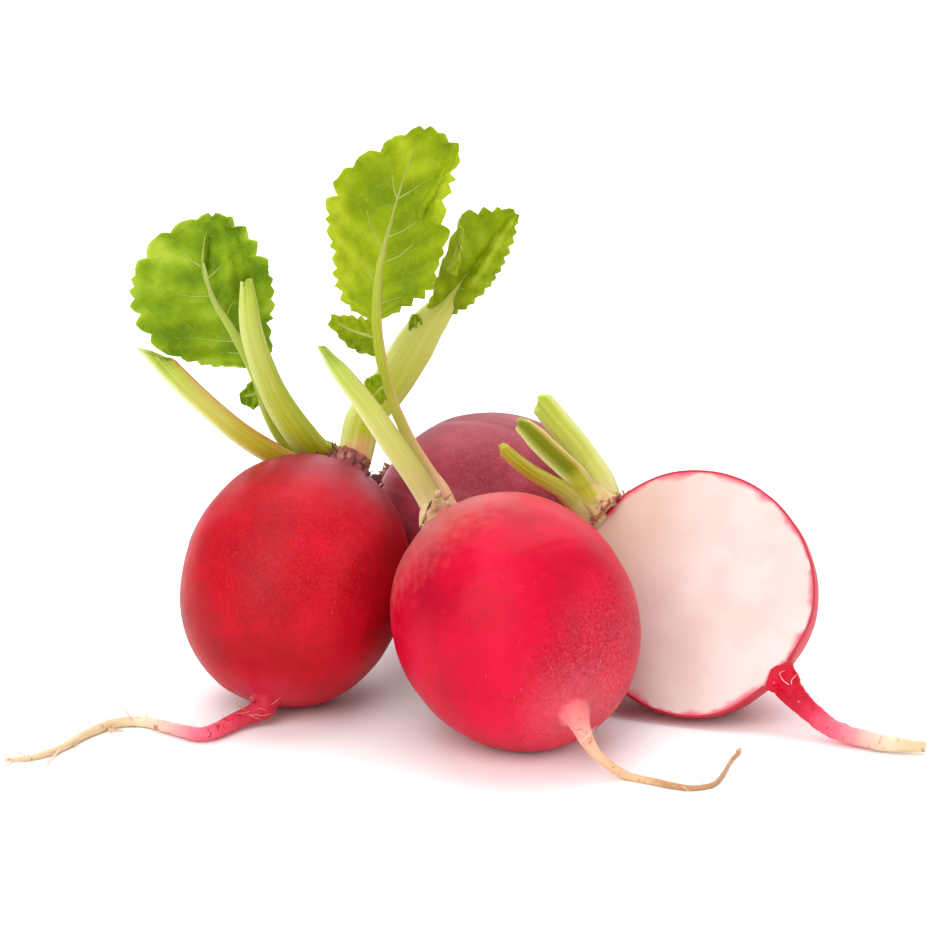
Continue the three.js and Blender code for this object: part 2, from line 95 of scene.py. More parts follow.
# The radishes. Globe length runs from neck to taproot, and age tells how far the colour of the
# taproot has gone from skin (0) to dry root (1), evenly spread from the foot to the tip. Shoulder is how
# many mm down from the neck its colour reaches, a colour that is partly the skin's own dull bloom and
# partly a painted sheen of the light from above. Foot_pinch is the share by which the globe is drawn in
# above its foot, and the scuffs lie round one direction.
LEFT_RADISH = {
    "centre": (-32.6, 17.2, 18.2), "crown_direction": (0.4, 0.5, 0.77),
    "root_direction": (-0.22, -0.62, -0.75),
    "globe_length": 38.6, "globe_width": 33.8, "neck_height": 2.4, "neck_width": 4.8,
    "neck_flare": 1.2, "root_flare": 1.2, "foot_pinch": 0.25,
    "taproot": [
        (-38.8, 3.9, 2.1), (-41, 2.4, 1.5), (-45.6, -2.3, 1.2), (-50.4, 0.6, 1), (-55.1, 4, 0.8),
        (-59, 3.4, 0.8), (-62.9, -0.9, 0.7), (-66.2, -6.5, 0.6), (-70.2, -10.1, 0.5), (-73.8, -10.7, 0.4),
    ],
    "taproot_widths": [2.3, 2.4, 2.2, 1.9, 1.6, 1.4, 1.3, 1.1, 0.9, 0.5],
    "ages": [0.04, 0.07, 0.16, 0.45, 0.72, 0.9, 1, 1, 1, 1],
    "shoulder": 15,
    "scuff_direction": (0.1, -0.6, 0.5), "scuff_spread": 0.9, "scuff_amount": 0.3,
}
CENTRE_RADISH = {
    "centre": (0, 0, 17.9), "crown_direction": (-0.55, 0.54, 0.635),
    "root_direction": (0.43, -0.79, -0.435),
    "globe_length": 38.6, "globe_width": 35.2, "neck_height": 2.2, "neck_width": 4,
    "neck_flare": 2.0, "root_flare": 1.4, "foot_pinch": 0.3,
    "taproot": [
        (9.4, -16.9, 7.5), (10.8, -17.2, 4.7), (13.2, -17.3, 2.2), (15.8, -17.6, 0.7), (18.7, -19, 0.5),
        (22.3, -21.1, 0.5), (25.1, -21.8, 0.4), (27.9, -20.5, 0.4), (29.7, -16.2, 0.4), (31.1, -11, 0.4),
        (32.7, -7, 0.4),
    ],
    "taproot_widths": [2.6, 2, 1.5, 1.15, 0.95, 0.8, 0.65, 0.55, 0.45, 0.45],
    "ages": [0.05, 0.5, 0.78, 0.85, 0.9, 0.95, 1, 1, 1, 1], "shoulder": 16,
    "scuff_direction": (0.8, -0.35, -0.45), "scuff_spread": 0.75, "scuff_amount": 1.0,
}
BACK_RADISH = {
    "centre": (-2.3, 39.6, 18.3), "crown_direction": (-0.86, 0.45, 0.24),
    "root_direction": (0.89, -0.2, -0.4),
    "globe_length": 38.6, "globe_width": 37.4, "neck_height": 2, "neck_width": 4.2,
    "neck_flare": 1.5, "root_flare": 1, "foot_pinch": 0.2,
    "taproot": [
        (17.6, 35.2, 8.8), (20.5, 35.6, 4.4), (24.5, 37, 1.3), (29, 39.5, 0.8), (34, 40.5, 0.6),
        (39, 39, 0.4),
    ],
    "taproot_widths": [3, 2.3, 1.7, 1.3, 1, 0.6],
    "ages": [0, 0.2, 0.5, 0.8, 1, 1],
    "shoulder": 8,
    "scuff_direction": (0.2, -0.7, 0.6), "scuff_spread": 0.8, "scuff_amount": 0.35,
}
HALF_RADISH = {
    "centre": (26.7, 12.1, 18), "crown_direction": (-0.677, 0.508, 0.533),
    "root_direction": (0.677, -0.508, -0.533),
    "globe_length": 36.8, "globe_width": 36.4, "neck_height": 4, "neck_width": 5,
    "neck_flare": 0.8, "root_flare": 0.6, "foot_pinch": 0.55,
    "taproot": [
        (40.7, 1.6, 6.3), (43.4, -0.3, 3.9), (46, -2, 2.3), (48.6, -3.6, 1.6), (51.3, -5.1, 1.4),
        (54.9, -6.9, 1.3), (59.7, -7.3, 1.1),
    ],
    "taproot_widths": [4, 3.4, 2.9, 2.7, 2.6, 2.4, 2.1, 1.5],
    "ages": [0, 0, 0.06, 0.2, 0.36, 0.62, 0.9, 1],
    "shoulder": 6,
    "scuff_direction": (0.5, 0.2, -0.8), "scuff_spread": 0.6, "scuff_amount": 0.5,
}
# The cut face: where it looks, how far it lies in front of the radish's axis, how close two corners of
# its rim are when they are merged, and the widths of the rings that fill it from the rim inwards.
CUT_FACE_NORMAL = Vector((-0.302, -0.851, 0.428)).normalized()
CUT_IN_FRONT_OF_AXIS = 0.6
RIM_MERGE = 0.12
CUT_RINGS = (0.12, 0.12, 0.14, 0.18, 0.24, 0.3, 0.4, 0.5, 0.6, 0.8, 1.0, 1.2, 1.5, 2.0, 3.0)

# The cut stalks. Widths run evenly from base to tip. Depth is the share of the width seen from the
# side, groove how far the front is channelled, tip_slant how obliquely the tip was cut, tip_hollow how
# many mm it is sunk, dome how far its two sides are drawn back, and notch where and how deep it is nicked.
CUT_STALKS = {
    "left_outer_stalk": {
        "points": [
            (-29.8, 31.6, 29.8), (-32.6, 31, 31.9), (-36.4, 29.5, 34.5), (-41, 28, 38), (-46.7, 27, 43.4),
            (-50.6, 26, 47.7), (-53.5, 25.6, 51.2),
        ],
        "widths": [3.2, 3.4, 3.5, 3.4, 3.3, 3.3, 3.2], "depth": 0.8, "groove": 0.15, "tip_slant": -1.7,
        "tip_hollow": 1.6, "dome": 0, "notch": (1.2, 0.5), "material": "outer_stalk",
    },
    "left_front_stalk": {
        "points": [
            (-27, 30.6, 32), (-28, 30.4, 34), (-30, 28.5, 35.4), (-32.6, 26.5, 39.1), (-35.6, 25, 44.6),
            (-37.5, 24, 49.7), (-39, 23, 55.5), (-39.6, 22, 63.4),
        ],
        "widths": [3.6, 4.4, 4.7, 4.4, 4, 3.7, 3.5, 3, 1.8], "depth": 0.75, "groove": 0.1, "tip_slant": 0.2,
        "tip_hollow": 0.2, "dome": 0, "notch": (2.0, 0.7), "material": "front_stalk",
    },
    "centre_cut_stalk": {
        "points": [
            (-11.8, 11.6, 31.2), (-12.9, 12.4, 33.2), (-14.7, 12.2, 36.3), (-16.8, 12, 39.6),
            (-19.5, 11.5, 43.9),
            (-22.3, 11, 48.3), (-25.5, 10.5, 52.7), (-28.1, 10, 56.6),
        ],
        "widths": [3.6, 3.5, 3.5, 3.6, 3.5, 3.1, 2.6, 1.2], "depth": 0.75, "groove": 0.2, "tip_slant": -1,
        "tip_hollow": 0.4, "dome": 0, "notch": (0, 0), "material": "pale_stalk",
    },
    "half_upper_stub": {
        "points": [
            (14.4, 22, 28.2), (12.7, 23.8, 32.2), (11.2, 24.4, 34.5), (8.8, 24.7, 38), (6.3, 24.9, 41.1),
            (3.6, 25.2, 44.5),
        ],
        "widths": [4.4, 4.6, 4.3, 4.1, 4, 3.7], "depth": 0.6, "groove": 0.15, "tip_slant": 0.12,
        "tip_hollow": 0.2, "dome": 1.1, "notch": (2.1, 1.1), "material": "upper_stub",
    },
    "half_channelled_stub": {
        "points": [
            (13.4, 21, 27.9), (10.6, 21.8, 31.2), (9.2, 20.9, 33.6), (7.3, 20.2, 35.7), (4.9, 19.6, 38.2),
            (2.8, 19, 40.6),
            (0.7, 18.5, 42.9),
        ],
        "widths": [4.4, 3.9, 3.5, 3.5, 3.4, 2.6], "depth": 0.65, "groove": 0.7, "tip_slant": -0.3,
        "tip_hollow": 0.1, "dome": 1.1, "notch": (2.3, 0.6), "material": "channelled_stub",
    },
    "half_lower_stub": {
        "points": [
            (13, 21.8, 26.2), (9.2, 21.8, 29.4), (7.6, 20.5, 31.3), (5.4, 19, 33.1), (2.7, 18, 35),
            (0.1, 17, 37.3),
            (-2, 16.2, 39.5),
        ],
        "widths": [4.2, 3.6, 2.7, 2.4, 2.2, 2], "depth": 0.8, "groove": 0.15, "tip_slant": 0.2,
        "tip_hollow": 0, "dome": 0.9, "notch": (0, 0), "material": "lower_stub",
    },
}

# The leaves. A blade is spanned between its midrib and its two rims, each a smooth line from base to
# apex. Notches are given as (share of the rim, depth in mm), or as a number of even teeth. Places on a
# blade are (share from base to apex, sideways from -1 at the left rim to 1 at the right): a vein is a
# list of them, and a fold runs from one to another with its width there and its height in mm. Ribs
# and lean tell how many swellings there are between the veins and how far they climb outwards. Painted
# light and shade are given as a fold is: they lighten the blade on ridges and flaps, and darken it in
# creases where their last number is below 0.
LEFT_LEAF = {
    "stalk": [
        (-28, 32, 30.6), (-30.4, 31.9, 32.2), (-33.2, 31.6, 34.2), (-35.4, 31.2, 37.2), (-37, 30.4, 41),
        (-38.2, 30, 45),
        (-39.4, 30, 48.1), (-42.3, 30, 53.7), (-45.2, 30, 59), (-46.4, 30.5, 64),
    ],
    "stalk_widths": [2.6, 2.3, 2.2, 1.9, 1.5, 1.0, 0.3], "stalk_depth": 0.8,
    "stalk_material": "left_petiole",
    "blades": [
        {
            "midrib": [
                (-39.4, 30, 48.1), (-42.3, 30, 53.7), (-45.2, 30, 59), (-46.5, 30.5, 62.9),
                (-46.2, 31, 67.4),
                (-45, 31, 71),
            ],
            "left": [
                (-40.3, 30.5, 47.7), (-46.5, 31, 47.8), (-53.3, 31, 50.3), (-57.2, 31, 55.3),
                (-57.7, 31, 60.5),
                (-55, 31.5, 66.2), (-51.1, 31.5, 69.4), (-45.6, 31, 71.6),
            ],
            "right": [
                (-38.6, 30, 47.2), (-36.3, 30, 50.3), (-36.3, 30, 53.7), (-35.7, 29.5, 58.5),
                (-36.5, 29.5, 64.1), (-38.8, 30, 68.2), (-41.5, 30.5, 70.9), (-44.5, 31, 71.6),
            ],
            "left_notches": [
                (0.05, 0.3), (0.09, 0.4), (0.13, 0.4), (0.18, 0.5), (0.24, 0.5), (0.38, 1.0), (0.47, 1.3),
                (0.54, 0.9), (0.59, 0.7), (0.63, 0.5), (0.71, 1.0), (0.84, 0.9), (0.95, 1.1),
            ],
            "right_notches": [
                (0.1, 0.3), (0.2, 0.4), (0.28, 0.9), (0.33, 0.6), (0.42, 0.6), (0.49, 0.5), (0.55, 0.6),
                (0.67, 1.3), (0.77, 0.8), (0.87, 1.2), (0.94, 0.4),
            ],
            "cup": 1.4, "wave": 0.8, "waves": 2.5, "ribs": 6, "lean": 0.2, "pucker": 0.35,
            "veins": [
                [(0.08, 0), (0.14, -0.3), (0.21, -0.65)], [(0.17, 0), (0.23, -0.25), (0.3, -0.5),
                (0.36, -0.8)],
                [(0.5, 0), (0.53, -0.33), (0.57, -0.5), (0.62, -0.8)], [(0.68, 0), (0.76, -0.4),
                (0.83, -0.75)],
                [(0.2, 0), (0.28, 0.4), (0.33, 0.8)], [(0.33, 0), (0.43, 0.25), (0.52, 0.65)],
                [(0.6, 0), (0.68, 0.4), (0.74, 0.8)],
            ],
            "folds": [
                ((0.5, 0.3), (0.85, 0.5), 0.11, 0.9), ((0.5, 0.62), (0.8, 0.8), 0.1, -0.7),
                ((0.68, 0.08), (0.84, 0.14), 0.06, -0.9), ((0.3, -0.5), (0.6, -0.6), 0.2, 0.5),
            ],
            # Painted light on ridges and flaps, painted shade in creases.
            "painted_light_and_shade": [
                ((0.65, -0.6), (0.9, -0.6), 0.4, 0.5), ((0.55, 0.3), (0.85, 0.45), 0.12, 0.35),
                ((0.55, 0.7), (0.85, 0.8), 0.16, -0.6), ((0.7, 0.1), (0.84, 0.14), 0.08, -0.7),
                ((0.25, 0.3), (0.45, 0.2), 0.3, -0.4),
            ],
        },
        {
            "midrib": [(-37.6, 30.3, 44), (-39.4, 29.9, 43.7), (-41.3, 29.6, 43.3)],
            "left": [(-37, 30.4, 42.4), (-39.2, 30, 41.2), (-41.1, 29.6, 42.5)],
            "right": [(-38.7, 30, 47), (-40.2, 29.8, 45.4), (-41.3, 29.6, 43.9)],
            "teeth": 3, "tooth_height": 0.4, "cup": 0.3, "wave": 0, "waves": 0,
            "ribs": 3, "lean": 0.3, "pucker": 0.2,
        },
    ],
}
RIGHT_LEAF = {
    "stalk": [
        (-24.2, 27.4, 33.4), (-23.6, 28.8, 35.9), (-22.6, 30, 39.7), (-19.1, 31, 44.1),
        (-16.2, 31.5, 48.7), (-12.9, 32, 54),
        (-11.1, 32.2, 56.3), (-8.4, 32.5, 60.1), (-5.6, 33, 63.5), (-2.5, 33.4, 67.5),
    ],
    "stalk_widths": [5, 5.3, 5.5, 6, 6, 4.8, 2.4, 1.2, 0.4], "stalk_depth": 0.5,
    "stalk_material": "broad_stalk",
    "blades": [
        {
            "midrib": [
                (-11.1, 32.2, 56.3), (-8.4, 32.5, 60.1), (-5.6, 33, 63.5), (-2.5, 33.5, 68), (0.3, 33, 71),
            ],
            "left": [
                (-13, 31.2, 56.9), (-12.1, 30, 60.7), (-10.8, 28.8, 64.6), (-9.4, 28.8, 68.5),
                (-7.4, 31, 71.7), (-4.3, 32.6, 72.2), (0, 33, 71.7),
            ],
            "right": [
                (-10.2, 32, 54.8), (-6.6, 32, 56.7), (-3.3, 32.5, 59.9), (-1.1, 33, 63.5), (0.2, 33, 66.9),
                (0.9, 33, 70.8),
            ],
            "left_notches": [
                (0.1, 0.4), (0.24, 0.3), (0.4, 0.4), (0.55, 0.5), (0.76, 1.3), (0.855, 1.2), (0.93, 0.4),
            ],
            "right_notches": [
                (0.06, 0.4), (0.12, 0.6), (0.2, 0.4), (0.275, 0.6), (0.38, 0.5), (0.45, 0.4), (0.51, 0.6),
                (0.58, 0.4), (0.65, 0.6), (0.74, 0.6), (0.82, 0.4), (0.9, 0.7), (0.96, 0.3),
            ],
            "cup": -0.8, "wave": 0.5, "waves": 2, "ribs": 5, "lean": 0.25, "pucker": 0.35,
            "veins": [
                [(0.15, 0), (0.3, -0.5), (0.42, -0.8)], [(0.4, 0), (0.55, -0.45), (0.66, -0.8)],
                [(0.2, 0), (0.3, 0.45), (0.38, 0.8)], [(0.45, 0), (0.55, 0.45), (0.63, 0.8)],
                [(0.65, 0), (0.74, 0.4), (0.8, 0.75)],
            ],
            "folds": [((0.1, -0.75), (0.6, -0.7), 0.14, 0.8), ((0.4, 0.35), (0.9, 0.3), 0.12, 0.5)],
            # Painted light on ridges and flaps, painted shade in creases.
            "painted_light_and_shade": [((0.35, 0.4), (0.95, 0.3), 0.14, 0.6), ((0.85, -0.5), (1, -0.2), 0.2, 0.4)],
        },
        {
            "midrib": [(-9.9, 28.2, 63.4), (-8.7, 28, 66.5), (-7.9, 28.2, 70)],
            "left": [(-10.6, 28.4, 64.2), (-9.6, 28.2, 67.2), (-8.1, 28.3, 70.2)],
            "right": [(-8.5, 27.9, 62.6), (-7.8, 27.8, 66), (-7.6, 28.2, 70)],
            "teeth": 2, "tooth_height": 0.5, "cup": 0.2, "wave": 0, "waves": 0,
            "ribs": 2, "lean": 0.3, "pucker": 0.1, "painted_light_and_shade": [((0, 0), (1, 0), 2, 1)],
        },
        {
            "midrib": [(-14.2, 31.4, 52.8), (-14.8, 31, 54.4), (-14.9, 30.9, 56)],
            "left": [(-15.2, 31.2, 52.2), (-16, 31, 53.8), (-15.3, 30.9, 55.9)],
            "right": [(-13.2, 31.2, 53.6), (-13.2, 31, 54.6), (-14.5, 30.9, 56)],
            "teeth": 2, "tooth_height": 0.4, "cup": 0.3, "wave": 0, "waves": 0,
            "ribs": 2, "lean": 0.3, "pucker": 0.1,
        },
    ],
}
CENTRE_LEAF = {
    "stalk": [
        (-9.6, 13.4, 30.4), (-10.9, 15, 33.2), (-12.5, 16, 35.4), (-15.1, 17, 39.6), (-16.9, 18, 43.2),
        (-18, 18.5, 45.8),
        (-19.6, 19.5, 51.7), (-20.4, 20, 57.8), (-19.9, 20.5, 65.8), (-18.5, 21, 71.4), (-16.8, 21.5, 77.3),
    ],
    "stalk_widths": [3, 2.1, 1.7, 1.6, 1.7, 1.7, 1.2, 0.8, 0.2], "stalk_depth": 0.8,
    "stalk_material": "centre_petiole",
    "blades": [
        {
            "midrib": [
                (-20.4, 20, 58.3), (-19.9, 20.5, 65.8), (-18.5, 21, 71.4), (-16.8, 21.5, 77.3),
                (-15, 22, 82.4),
                (-13.2, 23, 86),
            ],
            "left": [
                (-21.3, 20, 58), (-25, 19.5, 60.2), (-26.7, 19.5, 63.9), (-26.9, 19.5, 67.5),
                (-27.8, 19.5, 73.1), (-27.4, 20, 77.3), (-24.6, 20.5, 81.1), (-19.7, 21.5, 84.2),
                (-13.9, 23, 86.6),
            ],
            "right": [
                (-19.6, 20, 58.1), (-16.4, 19.5, 59.5), (-12.1, 19, 62.4), (-11, 19, 66.6),
                (-9.5, 19.5, 71.1), (-9.9, 20, 74.9), (-8.5, 21, 79.2), (-8.1, 22, 83.9), (-12.4, 23, 86.6),
            ],
            "left_notches": [
                (0.05, 0.3), (0.1, 0.6), (0.17, 0.9), (0.22, 0.8), (0.27, 0.7), (0.33, 0.8), (0.37, 0.6),
                (0.44, 0.6), (0.475, 0.6), (0.565, 1.6), (0.63, 0.3), (0.7, 0.8), (0.815, 1.3),
                (0.935, 0.6),
            ],
            "right_notches": [
                (0.05, 0.4), (0.1, 0.8), (0.16, 1.1), (0.225, 1.0), (0.28, 0.4), (0.325, 0.5), (0.38, 0.3),
                (0.43, 0.5), (0.535, 1.2), (0.62, 1.0), (0.69, 0.9), (0.735, 1.1), (0.82, 0.4),
                (0.895, 1.0),
                (0.96, 0.6),
            ],
            "cup": 1, "wave": 0.7, "waves": 3, "ribs": 6, "lean": 0.4, "pucker": 0.35,
            "veins": [
                [(0.36, 0), (0.46, -0.29), (0.58, -0.43), (0.72, -0.64)],
                [(0.16, 0), (0.24, -0.2), (0.32, -0.43), (0.42, -0.75)], [(0.62, 0), (0.76, -0.3),
                (0.88, -0.6)],
                [(0.05, 0), (0.12, 0.4), (0.2, 0.8)], [(0.28, 0), (0.35, 0.3), (0.43, 0.5), (0.5, 0.8)],
                [(0.42, 0), (0.46, 0.2), (0.54, 0.5), (0.6, 0.8)], [(0.62, 0), (0.7, 0.35), (0.78, 0.6)],
            ],
            "folds": [
                ((0.56, 0.5), (0.9, 0.95), 0.07, 0.9), ((0.1, -0.5), (0.5, -0.6), 0.2, 0.4),
                ((0.75, -0.4), (0.95, -0.4), 0.15, 0.5),
            ],
            # Painted light on ridges and flaps, painted shade in creases.
            "painted_light_and_shade": [
                ((0.65, 0.9), (0.92, 1), 0.25, 0.5), ((0.6, -0.8), (0.95, -0.5), 0.3, 0.4),
                ((0.3, -0.8), (0.5, -0.8), 0.3, 0.3), ((0.35, 0.2), (0.65, 0.25), 0.3, -0.35),
            ],
        },
        {
            "midrib": [(-20.2, 19.9, 55.2), (-24, 19.2, 56.6), (-27, 18.7, 58.5)],
            "left": [(-20, 19.8, 52.3), (-23.8, 19.2, 53.4), (-27.6, 18.6, 57.6)],
            "right": [(-20.6, 20, 58.3), (-23.9, 19.3, 59), (-27, 18.8, 59.2)],
            "teeth": 5, "tooth_height": 0.5, "cup": 0.4, "wave": 0.2, "waves": 1,
            "ribs": 4, "lean": 0.3, "pucker": 0.2,
        },
        {
            "midrib": [(-18.7, 19, 48.6), (-20.6, 18.5, 47), (-21.3, 18.2, 45.2)],
            "left": [(-18.2, 18.8, 46.8), (-19.3, 18.3, 45.6), (-20.7, 18, 44.4)],
            "right": [(-19.3, 19.2, 50.2), (-22, 18.6, 49.4), (-22.1, 18.2, 45.6)],
            "teeth": 3, "tooth_height": 0.4, "cup": 0.2, "wave": 0, "waves": 0,
            "ribs": 3, "lean": 0.3, "pucker": 0.15,
        },
    ],
}

# Dry scales round each crown: how many, their greatest length, the stretch of the neck they stand on
# in mm from its top, and their tones from dark purple brown (0) to straw (1).
CROWN_SCALES = (
    (LEFT_RADISH, (10, 0.8, 0.6, 1.4, 0.4, 0.65)),
    (LEFT_RADISH, (34, 0.9, 1.2, 3.6, 0.1, 0.4)),
    (CENTRE_RADISH, (8, 0.9, 1.2, 2.6, 0.55, 0.8)),
    (BACK_RADISH, (70, 1.8, 0.0, 3.4, 0.1, 0.5)),
    (HALF_RADISH, (26, 0.35, 3.9, 4.5, 0.35, 0.6)),
    (HALF_RADISH, (14, 0.6, 3.0, 4.0, 0.55, 0.85)),
)
# Single fibres and knobs: tone, width, places.
CROWN_FIBRES = (
    (0.15, 0.5, [(-25.9, 29.6, 33.2), (-26.5, 29.3, 34.6), (-26.3, 29, 35.4)]),
    (0.05, 0.4, [(-26.6, 29.8, 33.4), (-27.1, 29.4, 35.2), (-26.8, 29.2, 36.6)]),
    (0.2, 0.4, [(-26.2, 29.2, 34.6), (-27.2, 28.9, 35.6), (-27.4, 28.8, 36.8)]),
    (0.75, 1.3, [(-11.6, 10.3, 33.8), (-11.2, 10, 34.3), (-10.9, 10.2, 34.8)]),
    (0.9, 1.3, [(-12.8, 10.2, 32.6), (-13.5, 9.4, 31.2), (-13.9, 9, 29.6)]),
    (0.15, 0.35, [(-12.2, 9.8, 33.2), (-12.7, 9.4, 32.3), (-13, 9.2, 31.4)]),
    (0.65, 0.8, [(-10.4, 10.6, 33.2), (-9.9, 10.2, 33.8), (-9.3, 10.4, 34.1)]),
)
# Rootlets and hairs: tone from pink (0) to pale straw (1), thickness against a common hair, places.
ROOT_HAIRS = (
    (0.7, 1.6, [(-56.4, 3.2, 1.2), (-57.4, 4, 2.4), (-58.4, 4.4, 3.6)]),
    (0.8, 1.2, [(-54.6, 5, 1), (-54.3, 5.6, 2), (-53.6, 5.7, 2.5)]),
    (0.7, 1, [(-60, 2.6, 1), (-60.2, 3, 2.1), (-60.6, 3.3, 2.6)]),
    (0.6, 1.2, [(-64, -3.4, 0.8), (-64.1, -5.6, 0.5), (-64.4, -7.8, 0.3)]),
    (0.7, 2.4, [(-66, -6.4, 0.6), (-66.8, -9, 0.5), (-67.7, -13.4, 0.3)]),
    (0.7, 1.5, [(-71, -9.8, 0.6), (-72.6, -8.4, 1), (-74.4, -8, 1.5)]),
    (0.8, 1, [(-71.2, -9.6, 0.6), (-70.6, -7, 1.5), (-69.6, -6.4, 1.2), (-69.4, -7.6, 0.6)]),
    (0.6, 1.2, [(-72.6, -10.8, 0.5), (-72.9, -13, 0.4), (-72.4, -15.6, 0.3)]),
    (0.5, 3.4, [(-59.8, 1.4, 0.5), (-58.8, 0.9, 0.6), (-57.4, 0.8, 0.5)]),
    (0.5, 0.8, [(-39.4, 3.6, 2.6), (-40.6, 2.2, 4), (-40.2, 1.8, 5.2), (-39.2, 2.2, 4.9)]),
    (0.45, 0.7, [(-39.8, 3.4, 2.8), (-41, 2.4, 4.6), (-40.6, 2.2, 5.9)]),
    (0.5, 0.6, [(-38.8, 3.4, 2.8), (-40, 1.6, 3), (-41.6, 1.4, 3.1)]),
    (0.5, 0.6, [(-37.6, 3.4, 2.6), (-38, 1.6, 2.8), (-39.6, 1, 2.9)]),
    (0.5, 0.6, [(-38.4, 3, 2.4), (-37.2, 1.6, 2.6), (-35.8, 1.6, 3)]),
    (0.5, 0.6, [(-38, 3.6, 2.6), (-37.6, 2.2, 3.6), (-36.6, 1.8, 3.4)]),
    (0.5, 0.6, [(-39.2, 3.4, 2.4), (-38.8, 1.8, 2.6), (-37.4, 1, 2.2)]),
    (0.5, 0.6, [(-36.6, 4.2, 3.2), (-35.6, 3, 4), (-34.4, 2.6, 5.2)]),
    (0.9, 0.8, [(9.4, -18.2, 6.2), (10.4, -18.8, 7.4), (11.4, -18.8, 8.8)]),
    (0.9, 0.6, [(8.2, -17.6, 8.4), (9.6, -18.6, 7.2), (11, -18.6, 7)]),
    (0.9, 0.6, [(9.6, -17.4, 8.6), (10.4, -18.2, 7.6), (10.6, -18.4, 6.4)]),
    (0.6, 1.4, [(23.6, -21.4, 0.6), (24, -22.6, 0.6), (24.8, -23.2, 0.4)]),
    (0.5, 3.2, [(32.3, -7.8, 0.5), (32.6, -7, 0.7), (32.9, -6.6, 0.6)]),
    (0.8, 0.8, [(43.8, -0.4, 4.2), (44.4, 0, 5.4), (44.8, 0.2, 6.4)]),
    (0.8, 0.7, [(40.4, 0.8, 7.6), (39.2, 0.2, 8.8), (38.8, 0.2, 9.8), (39.6, 0.2, 10.2)]),
    (0.8, 0.7, [(40.6, 0.8, 7.6), (40.6, 0.2, 8.8), (41.4, 0.3, 9.6)]),
)
# How many short hairs stand at random along each taproot.
SHORT_HAIRS = ((LEFT_RADISH, 26), (CENTRE_RADISH, 14), (BACK_RADISH, 10), (HALF_RADISH, 16))

# Colours of a taproot by its age.
CRIMSON_ROOT = ((0.05, "e0284e"), (0.35, "ee6a80"), (0.62, "f3b3a6"), (0.85, "e4cdaf"), (1.0, "d9bf98"))
SALMON_ROOT = ((0.1, "dd5566"), (0.45, "e79a8e"), (0.75, "ebb994"), (0.95, "dfb58a"), (1.0, "b98f66"))
# Colours of each skin beside its main one: deep, bright, shoulder (partly its own dull bloom, partly a
# painted sheen of the light from above), specks, taproot and neck.
SKINS = {
    "left_radish": ("9a0010", "c40022", "8c3a4a", "de6a7a", CRIMSON_ROOT, ("6a3440", "94504e", "b87c66")),
    "centre_radish": ("ac0024", "d60038", "bc6a66", "f08c9a", SALMON_ROOT, ("8a5f45", "ae8261", "c9a57f")),
    "back_radish": ("7c1a2a", "ac4656", "b87080", "d498a4", CRIMSON_ROOT, ("5c332f", "864b44", "a06a55")),
    "half_radish": ("a8001e", "ce002e", "b04a52", "ee8a9a", CRIMSON_ROOT, ("b48a62", "c8ac78", "cdbb80")),
}
# Specks and scratches of a skin: mm between them, turn, stretch, and the share of that spacing they fill.
SKIN_MARKS = ((0.34, 0, 1, 0.15), (0.66, 0.4, 1, 0.12), (0.9, 0.7, 0.2, 0.09), (1.2, 2.2, 0.2, 0.07))
# The cut face beside its white: shade, tan near the crown, bleeding juice and rind.
FLESH_COLOURS = ("dcc4be", "d0ac90", "de2c5c", "a80020")
# Each stalk from its crown (0) to its tip (1), then its pale edge, its flushed edge and the darker green
# painted as shade in its groove and in the sunken hollow of its tip.
STALK_COLOURS = {
    "outer_stalk": (
        ((0.1, "af9e10"), (0.4, "b9a820"), (0.7, "bfbc58"), (0.9, "a9bb3c"), (1.0, "86961c")),
        "dfe6a8", "c98a3e", "7d8f18"),
    "front_stalk": (
        ((0.05, "989a00"), (0.4, "a6aa1c"), (0.75, "b3bb56"), (0.92, "a9b83a"), (1.0, "8c9c26")),
        "c3cf7c", "9aa518", "7f8f14"),
    "pale_stalk": (
        ((0.05, "c4ac78"), (0.3, "bcb660"), (0.6, "bcbe5c"), (0.88, "a4ba40"), (1.0, "7c9220")),
        "dfe3a6", "b0ae48", "7f941c"),
    "upper_stub": (
        ((0.05, "cfc08c"), (0.3, "c4c560"), (0.7, "bcc24c"), (0.95, "a9b430")), "ccd078", "d3d794", "a8b42c"),
    "channelled_stub": (
        ((0.05, "c3bd4c"), (0.3, "b0b11f"), (0.7, "a9b320"), (0.95, "a3b41c")), "e3d9a0", "d8b98c", "6f7d0c"),
    "lower_stub": (
        ((0.05, "c9be84"), (0.3, "b6b050"), (0.7, "a69c10"), (0.95, "a8a010")), "e0a070", "a8a418", "a09818"),
    "broad_stalk": (
        ((0.0, "c4886c"), (0.07, "c8a060"), (0.14, "aab018"), (0.3, "b4ba38"), (0.6, "c8c860"),
         (0.9, "98a818")),
        "d4d888", "c4cc68", "8f9a10"),
    "left_petiole": (
        ((0.1, "9aa018"), (0.5, "8f9d18"), (0.8, "a3b748"), (0.95, "adc052")), "b3c25a", "a3b040", "7f8f14"),
    "centre_petiole": (
        ((0.05, "d0a08a"), (0.2, "c0a860"), (0.4, "9ca010"), (0.6, "9aa818"), (0.95, "adba4a")),
        "a8b428", "d09a6c", "7f8f14"),
}
# Each blade beside its main green: dark, light and vein.
BLADE_COLOURS = {
    "left_leaf": ("5c7a04", "a6bc38", "b4c658"),
    "right_leaf": ("6e8600", "a8b82c", "b2be50"),
    "centre_leaf": ("6c8200", "a2b01c", "b4c258"),
}
SCALE_COLOURS = ((0.0, "3d2226"), (0.3, "7a4240"), (0.55, "a8765c"), (0.8, "c6a47c"), (1.0, "dcc8a0"))
HAIR_COLOURS = ((0.0, "9a4a4e"), (0.3, "b98472"), (0.6, "d2b490"), (1.0, "ecd4c4"))

Ring = namedtuple("Ring", "origin forward side up")


